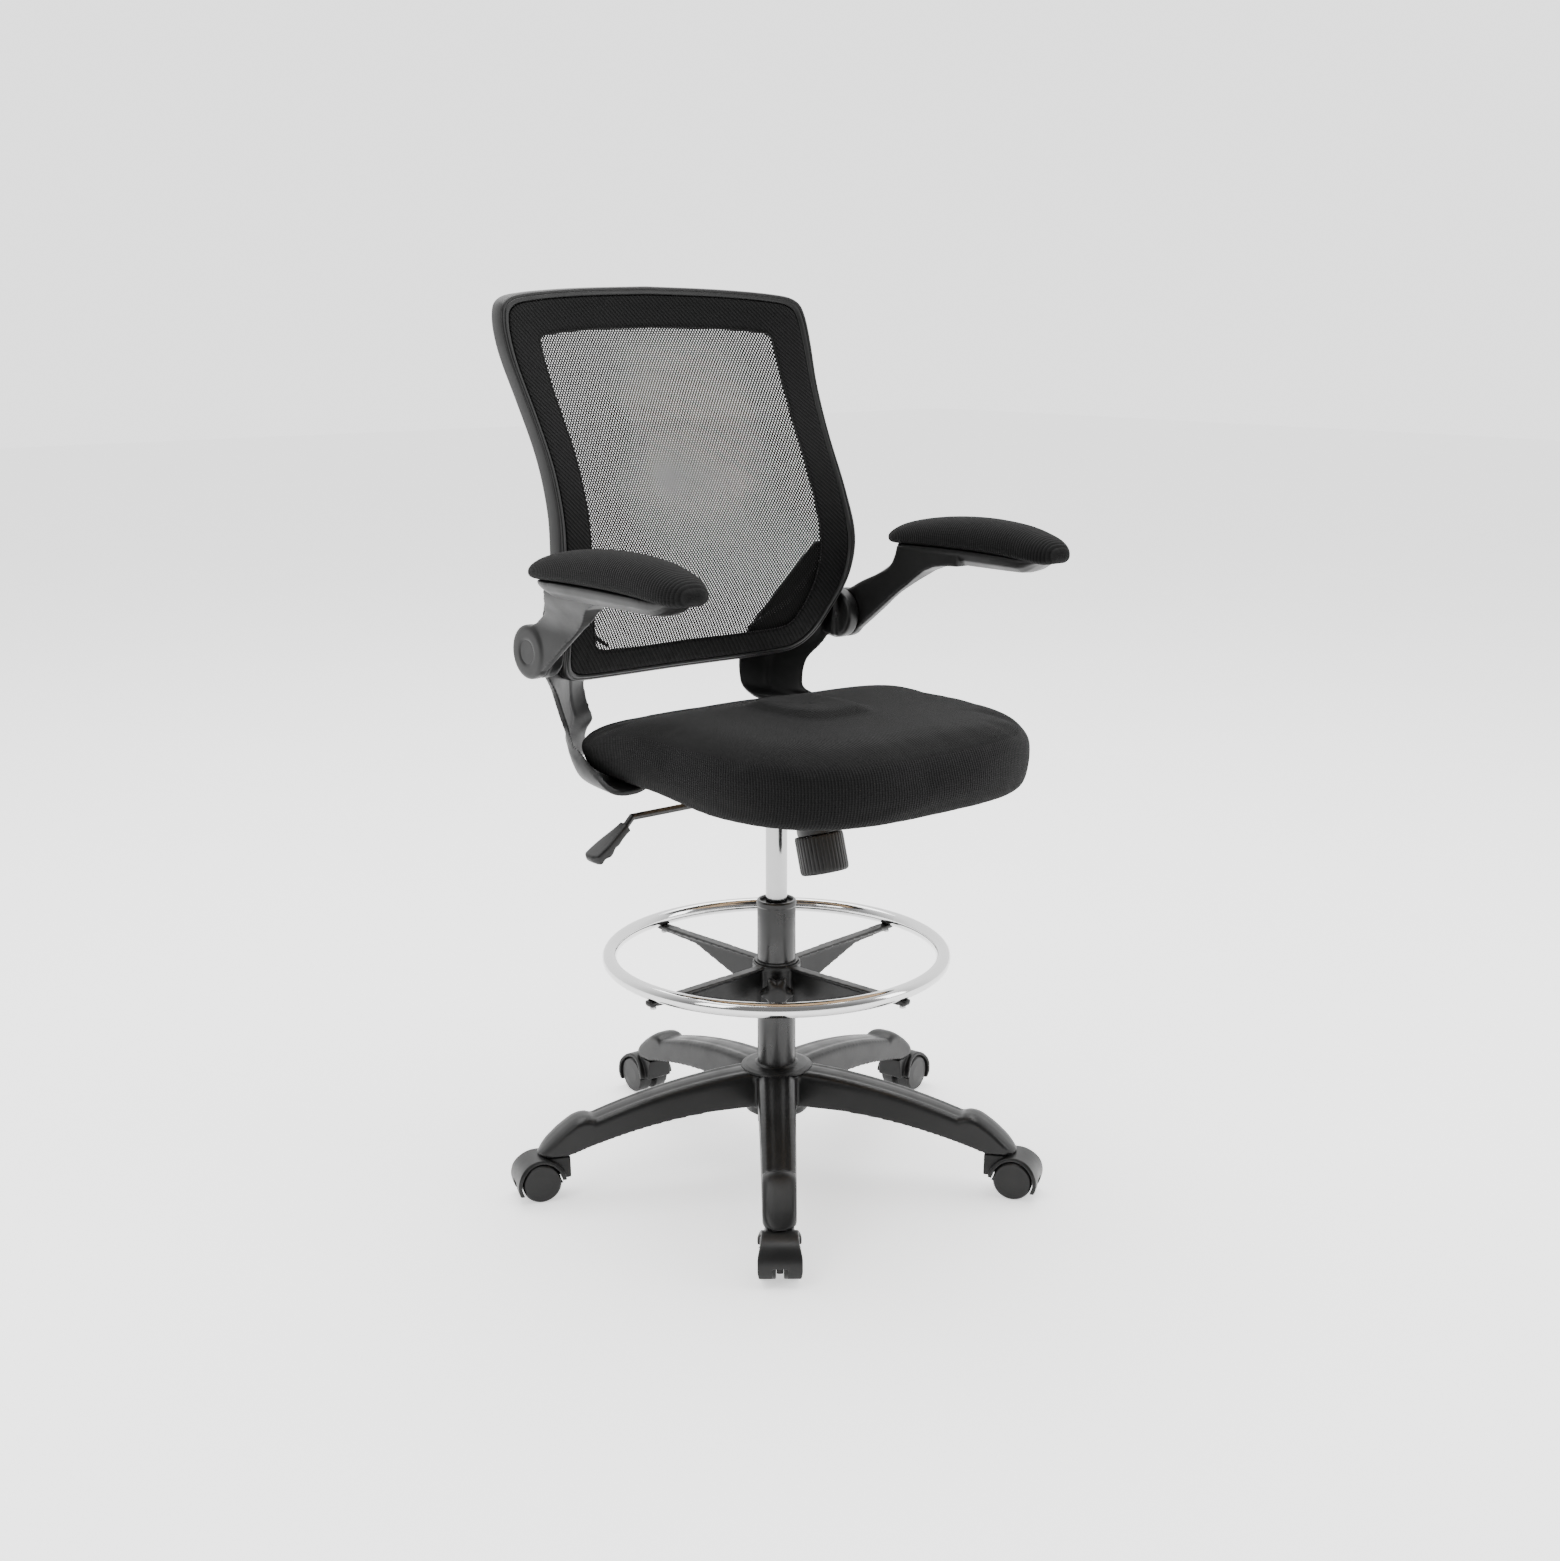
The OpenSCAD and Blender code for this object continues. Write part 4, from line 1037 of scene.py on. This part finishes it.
clamp = add_object("clamp_grip", mesh_from("clamp_grip", *turned(
    [(4, -9), (8, -9), (9, -8), (9.2, 0.2), (12, 0.6), (16, 1.6), (17.8, 4), (18.1, 10),
     (18, 16), (16.6, 19.6), (13.5, 21.6), (12.5, 23.4), (10, 24.3), (3, 24.5)], 192, lobes)))
place(clamp, (40 * math.cos(clamp_dir), 40 * math.sin(clamp_dir), 256),
      (math.cos(clamp_dir), math.sin(clamp_dir), 0))
finish_piece(clamp, "clamp_knob", "black_plastic", ["ring_knob"])


PADDLE_TILT = 31.0
PADDLE_LONG = 62.0


def paddle():
    """The lever's handle: a wedge that widens outwards, with finger swells underneath."""
    rings = []
    for s in np.linspace(0, 1, 40):
        half = 8.0 + 6.0 * ease(s / 0.7)
        half *= max(1 - max(s - 0.9, 0) / 0.105, 0.1) ** 0.4
        up = 6.2 - 1.2 * s
        down = 6.0 + 5.0 * ease(s / 0.75) - 6.0 * ease((s - 0.86) / 0.14)
        scallop = 1.5 * math.cos(2 * math.pi * 3.2 * s) * ease((s - 0.25) / 0.2)
        end = max(1 - max(s - 0.95, 0) / 0.052, 0.1) ** 0.4
        ring = []
        for k in range(32):
            a = 2 * math.pi * k / 32
            c, d = math.cos(a), math.sin(a)
            w = half * math.copysign(abs(c) ** 0.5, c)
            h = (up if d > 0 else down + scallop) * end * math.copysign(abs(d) ** 0.6, d)
            ring.append((PADDLE_LONG * s, w, h))
        rings.append(ring)
    return loft(rings)


handle = add_object("lever_handle", mesh_from("lever_handle", *paddle()))
handle.data.transform(Matrix.Translation(Vector((-236, 0, 503)) * MM)
                      @ Matrix.Rotation(math.pi, 4, "Z")
                      @ Matrix.Rotation(math.radians(PADDLE_TILT), 4, "Y"))
finish_piece(handle, "lever", "black_plastic", ["lever_paddle"])


# ---------------------------------------------------------------- floor and light

floor_mesh = bpy.data.meshes.new("floor")
floor_mesh.from_pydata([(-15, -15, 0), (15, -15, 0), (15, 15, 0), (-15, 15, 0)], [],
                       [(0, 1, 2, 3)])
floor = add_object("floor", floor_mesh)
floor_look = Nodes("studio_floor")
floor_look.link(floor_look.ramp(floor_look.noise(2.0), [(0.3, grey(0.90)), (0.7, grey(0.92))]),
                "Base Color")
floor_look.set(Roughness=0.9, Specular_IOR_Level=0.1, Emission_Strength=0.9)
floor_look.bsdf.inputs["Emission Color"].default_value = (1.0, 1.0, 1.0, 1.0)
floor.data.materials.append(floor_look.mat)

world = bpy.data.worlds.new("studio")
world.use_nodes = True
sky = world.node_tree
backdrop = sky.nodes["Background"]
backdrop.inputs["Color"].default_value = (1.0, 1.0, 1.0, 1.0)
direction = sky.nodes.new("ShaderNodeTexCoord")
facing = sky.nodes.new("ShaderNodeVectorMath")
facing.operation = "DOT_PRODUCT"
facing.inputs[1].default_value = (0.64, 0.77, 0.0)
sky.links.new(direction.outputs["Generated"], facing.inputs[0])
strength = sky.nodes.new("ShaderNodeMapRange")
strength.interpolation_type = "SMOOTHSTEP"
strength.inputs["From Min"].default_value = -0.7
strength.inputs["From Max"].default_value = 0.7
strength.inputs["To Min"].default_value = 0.3
strength.inputs["To Max"].default_value = 2.2
sky.links.new(facing.outputs["Value"], strength.inputs["Value"])
sky.links.new(strength.outputs["Result"], backdrop.inputs["Strength"])
bpy.context.scene.world = world


def area_light(name, where, target, width, height, power):
    data = bpy.data.lights.new(name, "AREA")
    data.shape = "RECTANGLE"
    data.size, data.size_y, data.energy = width, height, power
    obj = bpy.data.objects.new(name, data)
    bpy.context.scene.collection.objects.link(obj)
    obj.location = where
    aim = Vector(target) - Vector(where)
    obj.rotation_euler = aim.to_track_quat("-Z", "Y").to_euler()


area_light("key", (-3.0, -0.4, 2.4), (0, 0, 0.7), 1.2, 2.0, 45)
area_light("fill", (2.2, -2.6, 1.6), (0, 0, 0.6), 1.0, 2.0, 40)
area_light("top", (0.3, 0.5, 4.0), (0, 0, 0.5), 4.0, 4.0, 260)
